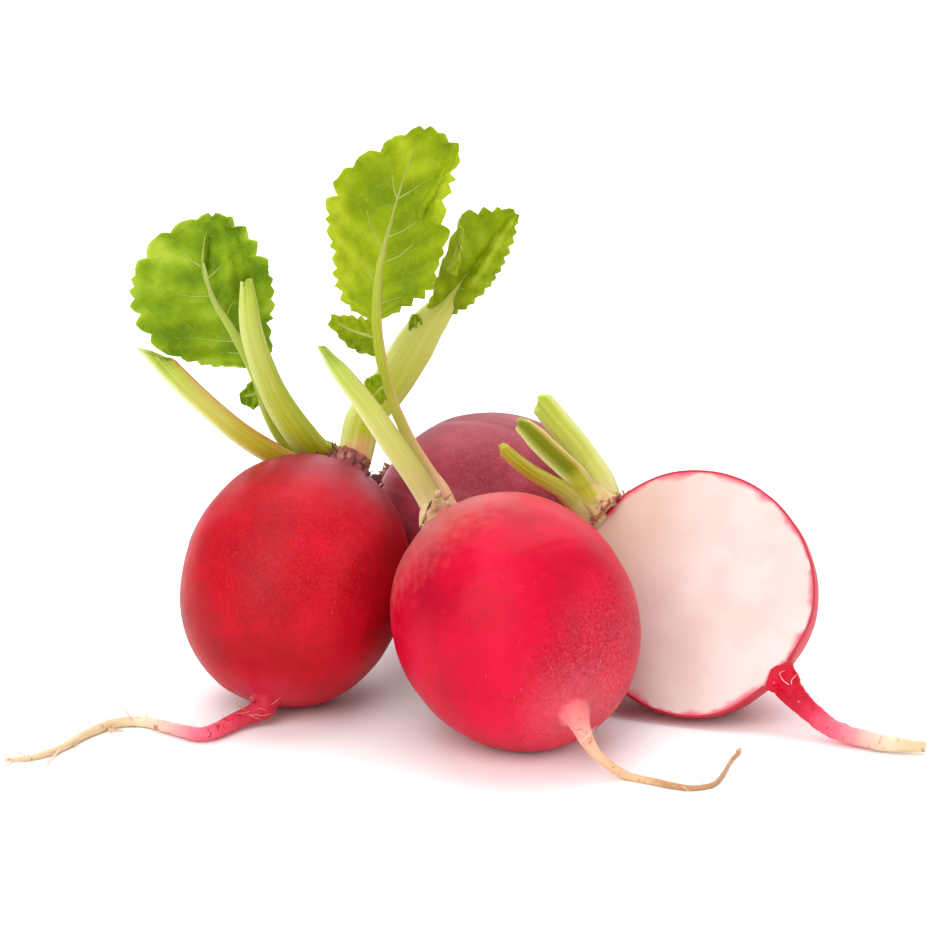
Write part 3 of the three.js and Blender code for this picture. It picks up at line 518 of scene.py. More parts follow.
def linear(colour):
    """A screen colour of six hex digits, in the linear values of shaders. Numbers are linear already."""
    if not isinstance(colour, str):
        return tuple(colour)
    channels = [int(colour[i:i + 2], 16) / 255 for i in (0, 2, 4)]
    return (*(c / 12.92 if c <= 0.04045 else ((c + 0.055) / 1.055) ** 2.4 for c in channels), 1.0)


def value_at(values, share):
    """The value of an evenly spread list at a share from 0 to 1 of its length."""
    place = min(max(share, 0), 1) * (len(values) - 1)
    before = min(int(place), len(values) - 2)
    return values[before] + (values[before + 1] - values[before]) * (place - before)


def eased(value, start, end):
    """0 at start and below, 1 at end and beyond, and a smooth rise between them."""
    share = min(max((value - start) / (end - start), 0), 1)
    return share * share * (3 - 2 * share)


class SmoothLine:
    """A centripetal curve through places in mm, walked by the share of its length."""

    def __init__(self, places):
        self.places = [Vector(place) for place in places]
        samples = [self.at(i / ARC_STEPS) for i in range(ARC_STEPS + 1)]
        self.lengths = [0.0]
        for before, after in zip(samples, samples[1:]):
            self.lengths.append(self.lengths[-1] + (after - before).length)
        self.length = self.lengths[-1]

    def at(self, parameter):
        spans = len(self.places) - 1
        i = min(int(parameter * spans), spans - 1)
        w = parameter * spans - i
        start, end = self.places[i], self.places[i + 1]
        before = self.places[i - 1] if i > 0 else start * 2 - end
        after = self.places[i + 2] if i + 2 <= spans else end * 2 - start
        pairs = (before, start), (start, end), (end, after)
        first, span, last = (math.sqrt((b - a).length) for a, b in pairs)
        leave = ((start - before) / first - (end - before) / (first + span) + (end - start) / span) * span
        reach = ((end - start) / span - (after - start) / (span + last) + (after - end) / last) * span
        curved = (end - start) * 3 - leave * 2 - reach
        return start + leave * w + curved * w ** 2 + ((start - end) * 2 + leave + reach) * w ** 3

    def parameter(self, share):
        target = min(max(share, 0), 1) * self.length
        low, high = 0, ARC_STEPS
        while high - low > 1:
            middle = (low + high) // 2
            if self.lengths[middle] > target:
                high = middle
            else:
                low = middle
        within = (target - self.lengths[low]) / max(self.lengths[high] - self.lengths[low], 1e-9)
        return (low + within) / ARC_STEPS

    def point(self, share):
        return self.at(self.parameter(share))

    def direction(self, share):
        parameter = self.parameter(share)
        step = 1e-4
        return (self.at(min(parameter + step, 1)) - self.at(max(parameter - step, 0))).normalized()


def rings_along(line, shares, first_side=None):
    """Where each ring of a tube stands, its sides carried along the line without twist."""
    rings = []
    side, forward = first_side or BACKWARDS.cross(line.direction(0)), None
    for share in shares:
        ahead = line.direction(share)
        if forward is not None:
            side = forward.rotation_difference(ahead) @ side
        side = (side - ahead * side.dot(ahead)).normalized()
        forward = ahead
        rings.append(Ring(line.point(share), forward, side, forward.cross(side)))
    return rings


def out_from(ring, angle):
    """The direction in which a corner of a ring lies from its middle."""
    return ring.side * math.cos(angle) + ring.up * math.sin(angle)


def new_mesh(*layers):
    """An empty mesh with a UV map and the named float attributes on its points."""
    mesh = bmesh.new()
    mesh.loops.layers.uv.new("UVMap")
    return mesh, [mesh.verts.layers.float.new(name) for name in layers]


def spread_grid(mesh, columns, rows, shape, layers=(), material_index=0):
    """A grid bent by shape(column, row), which gives a corner's place and its attribute values."""
    made = bmesh.ops.create_grid(mesh, x_segments=columns, y_segments=rows, size=0.5, calc_uvs=True)["verts"]
    for face in {face for vert in made for face in vert.link_faces}:
        face.material_index = material_index
    for vert in made:
        place, values = shape(round((vert.co.x + 0.5) * columns), round((vert.co.y + 0.5) * rows))
        vert.co = place
        for layer, value in zip(layers, values):
            vert[layer] = value
    bmesh.ops.remove_doubles(mesh, verts=made, dist=WELD_DISTANCE)


def tube(mesh, rings, sides, section, layers=(), material_index=0):
    """A closed tube through the rings. section(row, angle) gives [side, up, forward] and the values."""
    closed = [rings[0], *rings, rings[-1]]
    last = len(closed) - 1

    def shape(column, row):
        ring = closed[row]
        inner = min(max(row - 1, 0), last - 2)
        (across, upward, ahead), values = section(inner, 2 * math.pi * (column % sides) / sides)
        if row in (0, last):
            across = upward = ahead = 0
        return ring.origin + ring.side * across + ring.up * upward + ring.forward * ahead, values

    spread_grid(mesh, sides, last, shape, layers, material_index)


def strand(mesh, layers, places, widths, values, sides=5, flatness=1.0, twist=None, material_index=0):
    """A thin hair, fibre or scale along a smooth line, tapered by its widths."""
    line = SmoothLine(places)
    steps = max(4, int(line.length / 0.45))
    rings = rings_along(line, [i / steps for i in range(steps + 1)], twist)

    def section(row, angle):
        radius = value_at(widths, row / steps) / 2
        return (radius * math.cos(angle), flatness * radius * math.sin(angle), 0), values

    tube(mesh, rings, sides, section, layers, material_index)


def add_piece(context, mesh, name, materials, slot, *nodes):
    """Brings a mesh from the bench into the frame, and hands it to its body."""
    bmesh.ops.transform(mesh, matrix=FROM_BENCH, verts=mesh.verts)
    bmesh.ops.recalc_face_normals(mesh, faces=mesh.faces)
    for face in mesh.faces:
        face.smooth = True
    for edge in mesh.edges:
        edge.smooth = len(edge.link_faces) != 2 or edge.calc_face_angle() < SHARP_ANGLE
    piece = add_object(context, mesh, name, materials)
    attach(piece, "root")
    if nodes:
        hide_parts(*nodes)


def add_object(context, mesh, name, materials):
    data = bpy.data.meshes.new(name)
    mesh.to_mesh(data)
    mesh.free()
    for material in materials:
        data.materials.append(material)
    made = bpy.data.objects.new(name, data)
    context.collection.objects.link(made)
    return made


def foot_of(radish):
    """How many mm the foot of a globe lies down from the top of the neck."""
    return radish["neck_height"] + radish["globe_length"]


def neck_radius(radish, distance):
    above = max(radish["neck_height"] - distance, 0)
    return radish["neck_width"] / 2 + radish["neck_flare"] * math.exp(-above / NECK_FLARE_REACH)


def root_radius(radish, distance, length):
    foot = foot_of(radish)
    below = max(distance - foot, 0)
    flare = radish["root_flare"] * math.exp(-below / ROOT_FLARE_REACH)
    return value_at(radish["taproot_widths"], below / (length - foot)) / 2 + flare


def body_radius(radish, distance, length):
    """How wide a radish is at a distance in mm down from the top of its neck."""
    neck_height, globe_length, foot = radish["neck_height"], radish["globe_length"], foot_of(radish)
    if distance < neck_height:
        return neck_radius(radish, distance)
    if distance > foot:
        return root_radius(radish, distance, length)
    turn = math.acos(min(max(1 - 2 * (distance - neck_height) / globe_length, -1), 1))
    pinch = radish["foot_pinch"] * math.exp(-((foot - distance) / PINCH_REACH) ** 2)
    globe = radish["globe_width"] / 2 * math.sin(turn) ** GLOBE_BLUNTNESS * (1 - pinch)
    near = neck_radius(radish, distance) if turn < math.pi / 2 else root_radius(radish, distance, length)
    return (globe ** JOIN_SHARPNESS + near ** JOIN_SHARPNESS) ** (1 / JOIN_SHARPNESS)


def radish_line(radish):
    """From the top of the neck, evenly bowed through the middle of the globe, along the taproot."""
    centre = Vector(radish["centre"])
    crown = Vector(radish["crown_direction"]).normalized()
    root = Vector(radish["root_direction"]).normalized()
    neck_top = centre + crown * (radish["globe_length"] / 2 + radish["neck_height"])
    foot = centre + root * (radish["globe_length"] / 2)
    bend = (centre * 8 - neck_top - foot) / 6
    shares = [i / GLOBE_SPANS for i in range(GLOBE_SPANS + 1)]
    bowed = [neck_top * (1 - s) ** 3 + bend * 3 * s * (1 - s) + foot * s ** 3 for s in shares]
    below_foot = foot + (foot - bend).normalized() * STRAIGHT_BELOW_FOOT
    return SmoothLine([*bowed, below_foot, *radish["taproot"]])


def body_relief(radish, angle, distance, place):
    """Soft dents in the globe, creases at its crown and foot, and wrinkles on the taproot, in mm."""
    neck_height, foot, seed = radish["neck_height"], foot_of(radish), Vector(radish["centre"])
    on_globe = eased(distance, neck_height, neck_height + 5) * (1 - eased(distance, foot - 4, foot + 1))
    dents = on_globe * (0.35 * noise.noise(place / 14 + seed) + 0.09 * noise.noise(place / 4.5 + seed))
    near_crown = math.exp(-max(distance - neck_height, 0) / 3)
    near_foot = math.exp(-abs(distance - foot) / 3)
    creases = 0.16 * near_crown * math.sin(9 * angle + 2 * noise.noise(place / 5))
    creases += 0.1 * near_foot * math.sin(7 * angle + 3 * noise.noise(place / 4))
    on_root = eased(distance, foot - 1, foot + 2)
    width = value_at(radish["taproot_widths"], (distance - foot) / 40)
    wrinkle = Vector((distance / 0.9, math.cos(angle) * 0.7, math.sin(angle) * 0.7)) + seed
    folds = Vector((distance / 5, math.cos(angle) * 1.6, math.sin(angle) * 1.6)) + seed
    return dents + creases + on_root * width * (0.05 * noise.noise(wrinkle) + 0.07 * noise.noise(folds))


def body_values(radish, distance, length, place):
    """The attributes of a place on a radish, which its skin takes its colours from.

    They are the crown, 0 on the globe and 1 to 2 up the neck, the age along the taproot, how scuffed it is,
    mm down from the top, and how far it has left the foot for the taproot.
    """
    neck_height, foot = radish["neck_height"], foot_of(radish)
    if distance > neck_height:
        crown = 1 - eased(distance, neck_height - radish["shoulder"] / 2, neck_height + radish["shoulder"])
    else:
        crown = 2 - distance / neck_height
    age = value_at(radish["ages"], (distance - foot) / (length - foot))
    if distance < foot:
        age = radish["ages"][0] * eased(distance, foot - 2.5, foot)
    out = (place - Vector(radish["centre"])).normalized()
    facing = out.dot(Vector(radish["scuff_direction"]).normalized())
    scuff = radish["scuff_amount"] * eased(facing, 1 - radish["scuff_spread"], 1)
    return crown, age, scuff, distance, eased(distance, foot, foot + 3)


def add_body(mesh, layers, radish, line, distances, sides, nose=0.0):
    """A stretch of a radish, from its neck over the globe to its taproot, standing on the table.

    A nose gives a taproot of its own a pointed start of that many mm.
    """
    rings = rings_along(line, [distance / line.length for distance in distances])

    def section(row, angle):
        distance, ring = distances[row], rings[row]
        radius = body_radius(radish, distance, line.length)
        if nose:
            risen = min((distance - distances[0]) / nose, 1)
            radius = root_radius(radish, distance, line.length) * risen ** NOSE_BLUNTNESS
        place = ring.origin + out_from(ring, angle) * radius
        radius += body_relief(radish, angle, distance, place)
        values = body_values(radish, distance, line.length, place)
        return (radius * math.cos(angle), radius * math.sin(angle), 0), values

    tube(mesh, rings, sides, section, layers)
    for vert in mesh.verts:
        vert.co.z = max(vert.co.z, 0)


def ring_distances(radish, length, sizes):
    """Distances of the rings down the neck, over the globe and along the taproot."""
    neck_height, foot, count = radish["neck_height"], foot_of(radish), sizes.globe_rings
    neck = [neck_height * i / 10 for i in range(10)]
    radius = radish["globe_length"] / 2
    globe = [neck_height + radius * (1 - math.cos(math.pi * i / count)) for i in range(count)]
    steps = int((length - foot) / sizes.taproot_step)
    root = [foot + (length - foot) * i / steps for i in range(steps + 1)]
    return neck, globe, root


def add_node(tree, kind, inputs=None, output=0, stops=(), **settings):
    """Adds a node and gives one of its outputs. Sockets are linked, and six hex digits are a colour."""
    node = tree.nodes.new("ShaderNode" + kind)
    for name, value in settings.items():
        setattr(node, name, value)
    while stops and len(node.color_ramp.elements) < len(stops):
        node.color_ramp.elements.new(0.5)
    for i, (position, colour) in enumerate(stops):
        node.color_ramp.elements[i].position = position
        node.color_ramp.elements[i].color = linear(colour)
    for name, value in (inputs or {}).items():
        if isinstance(value, bpy.types.NodeSocket):
            tree.links.new(value, node.inputs[name])
        else:
            node.inputs[name].default_value = linear(value) if isinstance(value, str) else value
    return node.outputs[output] if node.outputs else None


def per_mm(size):
    """A texture's scale for features of so many millimetres."""
    return 1000 / size


def new_material(name, *attributes):
    """An empty material, the way to add its nodes, the places on its piece and the named attributes."""
    material = bpy.data.materials.new(name)
    material.use_nodes = True
    material.node_tree.nodes.clear()
    add = partial(add_node, material.node_tree)
    place = add("TexCoord", output="Object")
    return material, add, place, *(add("Attribute", output=2, attribute_name=each) for each in attributes)


def end_material(material, add, height, bump, shader):
    """Ends a material with its bump, given as strength and depth in mm, and its shader's inputs."""
    strength, depth = bump
    normal = add("Bump", {"Strength": strength, "Distance": depth * MM, "Height": height})
    add("OutputMaterial", {"Surface": add("BsdfPrincipled", {**shader, "Normal": normal})})
    return material


# Radish skin: a thin waxy rind over watery flesh, smooth with a soft sheen. It is even crimson with
# fine pale specks and scratches where the earth rubbed it, dull and brownish up to the neck, partly by its
# own bloom and partly by a painted sheen of the light from above, and it fades through pink to dry straw
# colour along the taproot, where lenticels lie across it.
def radish_skin(name, main_colour, streaks):
    material, add, place, crown, age, scuff, down, rooted = new_material(
        name + "_skin", "crown", "age", "scuff", "down", "rooted")
    deep, bright, shoulder, speck, root_stops, neck_colours = SKINS[name]
    blotch, mottle, patches = (
        add("TexNoise", {"Vector": place, "Scale": per_mm(size), "Detail": detail})
        for size, detail in ((11, 3), (1.6, 4), (5, 2)))
    base = add("ValToRGB", {"Fac": blotch}, stops=[(0.3, deep), (0.5, main_colour), (0.72, bright)])
    greys = add("ValToRGB", {"Fac": mottle}, stops=[(0.3, (0.2, 0.2, 0.2, 1)), (0.7, (0.75, 0.75, 0.75, 1))])
    base = add("Mix", {0: 0.22, 6: base, 7: greys}, 2, data_type="RGBA", blend_type="SOFT_LIGHT")

    # Specks 0.1 to 0.2 mm wide, scratches as wide and five times as long, and a worn grain.
    marks = 0.0
    for size, turn, stretch, limit in SKIN_MARKS:
        turns = (turn, turn / 2, turn)
        turned = add("Mapping", {"Vector": place, "Rotation": turns, "Scale": (1, 1, stretch)})
        dots = add("TexVoronoi", {"Vector": turned, "Scale": per_mm(size)})
        picked = add("MapRange", {"Value": dots, "From Min": limit, "From Max": limit / 2})
        marks = add("Math", {0: picked, 1: marks}, operation="MAXIMUM")
    patches = add("Math", {0: patches, 1: 0.9, 2: scuff}, operation="MULTIPLY_ADD")
    patches = add("MapRange", {"Value": patches, "From Min": 0.36, "From Max": 1.2, "To Max": 0.75})
    marks = add("Math", {0: marks, 1: patches}, operation="MULTIPLY")
    worn = add("TexNoise", {"Vector": place, "Scale": per_mm(0.45), "Detail": 5, "Roughness": 0.7})
    worn = add("MapRange", {"Value": worn, "From Min": 0.4, "From Max": 0.8, "To Max": 0.42})
    worn = add("Math", {0: worn, 1: scuff}, operation="MULTIPLY")
    marks = add("Math", {0: marks, 1: worn}, operation="MAXIMUM")
    coats = [(marks, speck)]

    # Faint streaks from crown to foot.
    if streaks:
        fine = add("Mapping", {"Vector": add("UVMap", uv_map="UVMap"), "Scale": (34, 1.6, 1)})
        fine = add("TexNoise", {"Vector": fine, "Scale": 1, "Detail": 3})
        fine = add("MapRange", {"Value": fine, "From Min": 0.52, "From Max": 0.75, "To Max": streaks})
        coats.append((fine, shoulder))

    # Shoulder and neck. The shoulder colour is partly the skin's own dull bloom and partly a painted sheen of
    # the light from above.
    ragged = add("Math", {0: mottle, 1: 0.5, 2: crown}, operation="MULTIPLY_ADD")
    on_shoulder_and_sheen = add(
        "MapRange", {"Value": ragged, "From Min": 0.3, "From Max": 1.1, "To Max": 0.9},
        interpolation_type="SMOOTHSTEP")
    neck = add("ValToRGB", {"Fac": mottle}, stops=[(0.3 + 0.2 * i, c) for i, c in enumerate(neck_colours)])
    on_neck = add("MapRange", {"Value": ragged, "From Min": 1.2, "From Max": 1.4})

    # Taproot, with lenticels that lie across it.
    aged = add("Math", {0: mottle, 1: 0.16, 2: age}, operation="MULTIPLY_ADD")
    root = add("ValToRGB", {"Fac": aged}, stops=root_stops)
    on_root = add("MapRange", {"Value": age, "From Max": 0.12})
    sideways, upwards = (add("SeparateXYZ", {"Vector": place}, axis) for axis in "XZ")
    scales = ("X", down, 1.1), ("Y", sideways, per_mm(1.8)), ("Z", upwards, per_mm(1.4))
    flattened = add("CombineXYZ", {
        axis: add("Math", {0: value, 1: scale}, operation="MULTIPLY") for axis, value, scale in scales})
    scars = add("TexNoise", {"Vector": flattened, "Scale": 1, "Detail": 3, "Roughness": 0.6})
    scars = add("MapRange", {"Value": scars, "From Min": 0.6, "From Max": 0.68})
    scars = add("Math", {0: scars, 1: rooted}, operation="MULTIPLY")
    scar = add("Mix", {0: age, 6: "a3122e", 7: "b98a62"}, 2, data_type="RGBA")
    coats += [(on_shoulder_and_sheen, shoulder), (on_neck, neck), (on_root, root), (scars, scar)]
    for share, colour in coats:
        base = add("Mix", {0: share, 6: base, 7: colour}, 2, data_type="RGBA")

    height = add("Math", {0: marks, 1: 0.5, 2: mottle}, operation="MULTIPLY_ADD")
    height = add("Math", {0: scars, 1: -0.8, 2: height}, operation="MULTIPLY_ADD")
    rough = add(
        "MapRange", {"Value": mottle, "From Min": 0.3, "From Max": 0.7, "To Min": 0.36, "To Max": 0.46})
    return end_material(material, add, height, (0.5, 0.08), {
        "Base Color": base, "Roughness": rough, "IOR": 1.42, "Specular IOR Level": 0.17,
        "Subsurface Weight": 0.1, "Subsurface Radius": (1.0, 0.2, 0.15), "Subsurface Scale": 0.001})


# Radish flesh, freshly sliced: crisp, watery and white, with light going some way into it. Pink
# juice of the rind bleeds into its rim.
def radish_flesh(name, white, shade, tan, bleed, rind):
    material, add, place, inwards, crown = new_material(name, "from_rim", "crown")
    soft, edge, grain = (
        add("TexNoise", {"Vector": place, "Scale": per_mm(size), "Detail": detail})
        for size, detail in ((6, 3), (3.2, 4), (0.5, 3)))
    base = add("ValToRGB", {"Fac": soft}, stops=[(0.35, shade), (0.6, white)])
    near_crown = add("Math", {0: crown, 1: 0.7}, operation="MULTIPLY")
    seep = add("MapRange", {"Value": edge, "From Min": 0.3, "From Max": 0.7, "To Min": 0.4, "To Max": 2})
    bled = add(
        "MapRange", {"Value": inwards, "From Min": seep, "From Max": 0.1}, interpolation_type="SMOOTHSTEP")
    line = add("MapRange", {"Value": inwards, "From Min": 0.38, "From Max": 0.2})
    for share, colour in ((near_crown, tan), (bled, bleed), (line, rind)):
        base = add("Mix", {0: share, 6: base, 7: colour}, 2, data_type="RGBA")
    return end_material(material, add, grain, (0.4, 0.05), {
        "Base Color": base, "Roughness": 0.38, "IOR": 1.38,
        "Subsurface Weight": 0.35, "Subsurface Radius": (1.0, 0.7, 0.6), "Subsurface Scale": 0.002})


# Young radish leaf: thin, soft and translucent, puckered between pale side veins, with a fine net
# of smaller veins. It is matt, and lighter at its rim. Its swellings, ridges and flaps are lighter and its
# creases darker by painted light and shade.
def leaf_blade(name, main_colour, dark, light, vein):
    material, add, place, phase, reach, tint = new_material(name, "vein_phase", "reach", "tint")
    patch, cells = (
        add("TexNoise", {"Vector": place, "Scale": per_mm(size), "Detail": detail})
        for size, detail in ((7, 3), (0.6, 2)))
    # Painted light: the swellings between the ribs are lighter than the hollows at the ribs.
    from_vein = add("Math", {0: phase, 1: 0.5}, operation="PINGPONG")
    tone = add("Math", {0: from_vein, 1: 0.25, 2: patch}, operation="MULTIPLY_ADD")
    rim = add("MapRange", {"Value": reach, "From Min": 0.7, "From Max": 1, "To Max": 0.12})
    tone = add("Math", {0: tone, 1: rim}, operation="ADD")
    # Painted light and shade: lighter on ridges and flaps, darker in creases.
    tone = add("Math", {0: tint, 1: 0.22, 2: tone}, operation="MULTIPLY_ADD")
    base = add("ValToRGB", {"Fac": tone}, stops=[(0.44, dark), (0.64, main_colour), (0.86, light)])

    # The net of small veins is 0.15 mm wide, as coarse as it needs to show.
    warped = add("TexNoise", {"Vector": place, "Scale": per_mm(2.5)}, "Color")
    warped = add("VectorMath", {0: warped, 1: (1.2 * MM,) * 3, 2: place}, operation="MULTIPLY_ADD")
    net = add("TexVoronoi", {"Vector": warped, "Scale": per_mm(1.5)}, feature="DISTANCE_TO_EDGE")
    veins = add("MapRange", {"Value": net, "From Min": 0.1, "From Max": 0})
    pale = add("Math", {0: veins, 1: 0.11}, operation="MULTIPLY")
    base = add("Mix", {0: pale, 6: base, 7: vein}, 2, data_type="RGBA")
    height = add("Math", {0: veins, 1: 0.4, 2: cells}, operation="MULTIPLY_ADD")
    return end_material(material, add, height, (0.6, 0.15), {
        "Base Color": base, "Roughness": 0.6, "IOR": 1.4, "Specular IOR Level": 0.14,
        "Subsurface Weight": 0.2, "Subsurface Radius": (0.7, 1.0, 0.15), "Subsurface Scale": 0.0007})


# Radish leaf stalk: juicy and smooth, with fibres along it. It is paler at one edge, flushed at the
# other, and its colour changes from the crown to the tip. Its groove and the sunken hollow of a cut tip
# are darker green by painted shade.
def leaf_stalk(name):
    stops, pale_edge, flushed_edge, channel = STALK_COLOURS[name]
    material, add, place, along, across, hollow = new_material(name, "along", "across", "channel")
    patch = add("TexNoise", {"Vector": place, "Scale": per_mm(4), "Detail": 3})
    fibres = add("Mapping", {"Vector": add("UVMap", uv_map="UVMap"), "Scale": (26, 2.2, 1)})
    fibres = add("TexNoise", {"Vector": fibres, "Scale": 1, "Detail": 4, "Roughness": 0.6})
    shifted = add("Math", {0: patch, 1: 0.2, 2: along}, operation="MULTIPLY_ADD")
    shifted = add("Math", {0: shifted, 1: 0.1}, operation="SUBTRACT")
    base = add("ValToRGB", {"Fac": shifted}, stops=stops)
    pale, flushed = (
        add("MapRange", {"Value": across, "From Min": start, "From Max": end, "To Max": strength},
            interpolation_type="SMOOTHSTEP")
        for start, end, strength in ((-0.35, -0.95, 0.8), (0.5, 0.95, 0.7)))
    streaks = add("MapRange", {"Value": fibres, "From Min": 0.45, "From Max": 0.75, "To Max": 0.35})
    # The last colour is painted shade in the groove and in the sunken hollow of a cut tip.
    for share, colour in ((pale, pale_edge), (flushed, flushed_edge), (streaks, "e3e0a0"), (hollow, channel)):
        base = add("Mix", {0: share, 6: base, 7: colour}, 2, data_type="RGBA")
    height = add("Math", {0: patch, 1: 0.3, 2: fibres}, operation="MULTIPLY_ADD")
    return end_material(material, add, height, (0.6, 0.15), {
        "Base Color": base, "Roughness": 0.42, "IOR": 1.4, "Specular IOR Level": 0.3,
        "Subsurface Weight": 0.3, "Subsurface Radius": (0.8, 1.0, 0.3), "Subsurface Scale": 0.0015})


# Dry plant fibre: old leaf bases at the crown and hairs on the roots, matt and straw coloured to
# purple brown, each strand with its own shade.
def dry_fibre(name, stops, roughness):
    material, add, place, tone = new_material(name, "tone")
    grain = add("TexNoise", {"Vector": place, "Scale": per_mm(0.9), "Detail": 4})
    mixed = add("Math", {0: grain, 1: 0.5, 2: tone}, operation="MULTIPLY_ADD")
    mixed = add("Math", {0: mixed, 1: 0.25}, operation="SUBTRACT")
    base = add("ValToRGB", {"Fac": mixed}, stops=stops)
    return end_material(
        material, add, grain, (0.5, 0.1), {"Base Color": base, "Roughness": roughness, "IOR": 1.4})


# Matt white paper, with a slight tooth.
def white_paper(name, colour):
    material, add, place = new_material(name)
    tooth = add("TexNoise", {"Vector": place, "Scale": per_mm(1.5), "Detail": 2})
    return end_material(material, add, tooth, (0.1, 0.05), {
        "Base Color": colour, "Roughness": 0.7, "Specular IOR Level": 0.2})


def rim_notch(notches, length, share):
    """How many mm a rim is drawn in. Teeth rise slowly from a notch and fall steeply to the next."""
    for (low, low_depth), (high, high_depth) in zip([(0, 0), *notches], [*notches, (1, 0)]):
        if low <= share < high:
            gap = (high - low) * length
            power = 1 + 0.8 * eased(gap, 2, 5)
            above = (share - low) * length / min(0.6 * gap, 2.2)
            below = (high - share) * length / min(0.4 * gap, 1.2)
            return low_depth * max(1 - above, 0) ** power + high_depth * max(1 - below, 0) ** power
    return 0


def fold_height(fold, share, sideways):
    """How far a fold lifts a place on a blade, in mm."""
    (start_share, start_side), (end_share, end_side), width, height = fold
    run, off = end_share - start_share, end_side - start_side
    along = ((share - start_share) * run + (sideways - start_side) * off) / (run ** 2 + off ** 2)
    along = min(max(along, 0), 1)
    apart = math.hypot(share - start_share - run * along, (sideways - start_side - off * along) / 2)
    return height * math.exp(-(apart / width * 2) ** 2)


def blade_surface(blade, rows, half, draw):
    """Places on a blade's middle sheet, with the attribute values there, row by row from its base."""
    midrib, rims = SmoothLine(blade["midrib"]), {-1: SmoothLine(blade["left"]), 1: SmoothLine(blade["right"])}
    notches = {}
    for side, key in ((-1, "left_notches"), (1, "right_notches")):
        teeth = blade.get("teeth", 1)
        even = [(i / teeth, blade["tooth_height"] * draw.uniform(0.5, 1.2)) for i in range(1, teeth)]
        notches[side] = blade.get(key, even)
    shift = draw.uniform(0, 100)
    surface = []
    for row in range(rows + 1):
        share = row / rows
        on_midrib, bulge = midrib.point(share), math.sin(math.pi * share)
        ends = {}
        for side, rim in rims.items():
            outwards = (TOWARDS_FRONT.cross(rim.direction(share)) * -side).normalized()
            drawn = rim_notch(notches[side], rim.length, share) * min(1, 4 * bulge)
            drawn += 0.12 * noise.noise(Vector((share * rim.length / 0.6, side, shift)))
            ends[side] = rim.point(share), outwards * drawn
        across = []
        for column in range(2 * half + 1):
            sideways = column / half - 1
            rim_place, notch = ends[-1 if sideways < 0 else 1]
            reach = abs(sideways)
            place = on_midrib.lerp(rim_place, reach) - notch * eased(reach, 0.6, 1)
            climbed = share - blade["lean"] * reach ** 1.3 * (1 - share)
            phase = blade["ribs"] * climbed + (0.3 if sideways < 0 else 0)
            inner = 4 * reach * (1 - reach)
            lift = blade["cup"] * inner
            lift -= blade["pucker"] * math.sin(math.pi * phase) ** 2 * math.sqrt(max(inner, 0))
            lift += blade["wave"] * reach ** 2 * math.sin(2 * math.pi * blade["waves"] * share + sideways)
            lift += 0.7 * noise.noise(Vector((share * 7, sideways * 3, shift))) * reach
            lift += 0.22 * noise.noise(Vector((share * 22, sideways * 9, shift))) * math.sqrt(reach)
            lift -= sum(fold_height(fold, share, sideways) for fold in blade.get("folds", ()))
            # Painted light and shade along the folds: lighter on ridges and flaps, darker in creases.
            tint = sum(fold_height(each, share, sideways) for each in blade.get("painted_light_and_shade", ()))
            across.append((place - TOWARDS_FRONT * lift * bulge, phase, reach, tint))
        surface.append(across)
    return surface


def add_blade(mesh, layers, blade, sizes, draw):
    """A toothed, puckered blade: front and back are one closed sheet that is thinnest at its rim."""
    fineness = min(1, SmoothLine(blade["midrib"]).length / 20 + 0.25)
    rows, half = int(sizes.blade_rows * fineness), int(sizes.blade_columns * fineness)
    surface = blade_surface(blade, rows, half, draw)
    thickness = sizes.blade_thickness / MM

    def shape(column, row):
        index, face = (column, 1) if column <= 2 * half else (4 * half - column, -1)
        place, phase, reach, tint = surface[row][index]
        left, right = surface[row][max(index - 1, 0)][0], surface[row][min(index + 1, 2 * half)][0]
        below, above = surface[max(row - 1, 0)][index][0], surface[min(row + 1, rows)][index][0]
        facing = (right - left).cross(above - below).normalized()
        inside = math.sqrt(max(1 - reach ** 8, 0)) if 0 < row < rows else 0
        return place + facing * face * inside * thickness / 2, (phase, reach, tint)

    spread_grid(mesh, 4 * half, rows, shape, layers[:3])

    def on_surface(share, sideways):
        row, column = share * rows, (sideways + 1) * half
        r, c = min(int(row), rows - 1), min(int(column), 2 * half - 1)
        low, high = (surface[r + i][c][0].lerp(surface[r + i][c + 1][0], column - c) for i in (0, 1))
        return low.lerp(high, row - r)

    for vein in [[(0.02, 0), (0.97, 0)], *blade.get("veins", ())]:
        route = SmoothLine([(share, sideways, 0) for share, sideways in vein])
        steps = [route.point(i / 16) for i in range(17)]
        widths = [0.36, 0.28, 0.2, 0.1] if vein[-1][1] else [0.6, 0.5, 0.4, 0.15]
        for lift in (0.16, -0.2):
            places = [on_surface(step.x, step.y) + TOWARDS_FRONT * lift for step in steps]
            strand(mesh, layers[3:], places, widths, (0.92, 0, 0), flatness=0.8, material_index=1)


def stalk_section(widths, depth, groove, rings, closing):
    """The section of a stalk: a flattened round, channelled in front, with fine ridges along it."""
    def section(row, angle):
        share = min(row / rings, 1)
        radius = value_at(widths, share) / 2
        ridged = 1 + 0.025 * math.sin(11 * angle) + 0.015 * math.sin(17 * angle + 4 * share)
        front = max(-math.sin(angle), 0) ** 2
        across = radius * ridged * math.cos(angle)
        open_end = eased(share, 0.3, 0.45)
        upward = radius * (depth * ridged * math.sin(angle) + groove * front * open_end)
        shrink, ahead = closing(row, angle, across)
        # Painted shade: a deep groove and the sunken hollow behind a cut tip take the darker green.
        channel = open_end * front ** 2 * 0.9 if groove > 0.5 else 0
        if row > rings + 1:
            channel = 0.7
        return (across * shrink, upward * shrink, ahead), (share, math.cos(angle), channel)
    return section


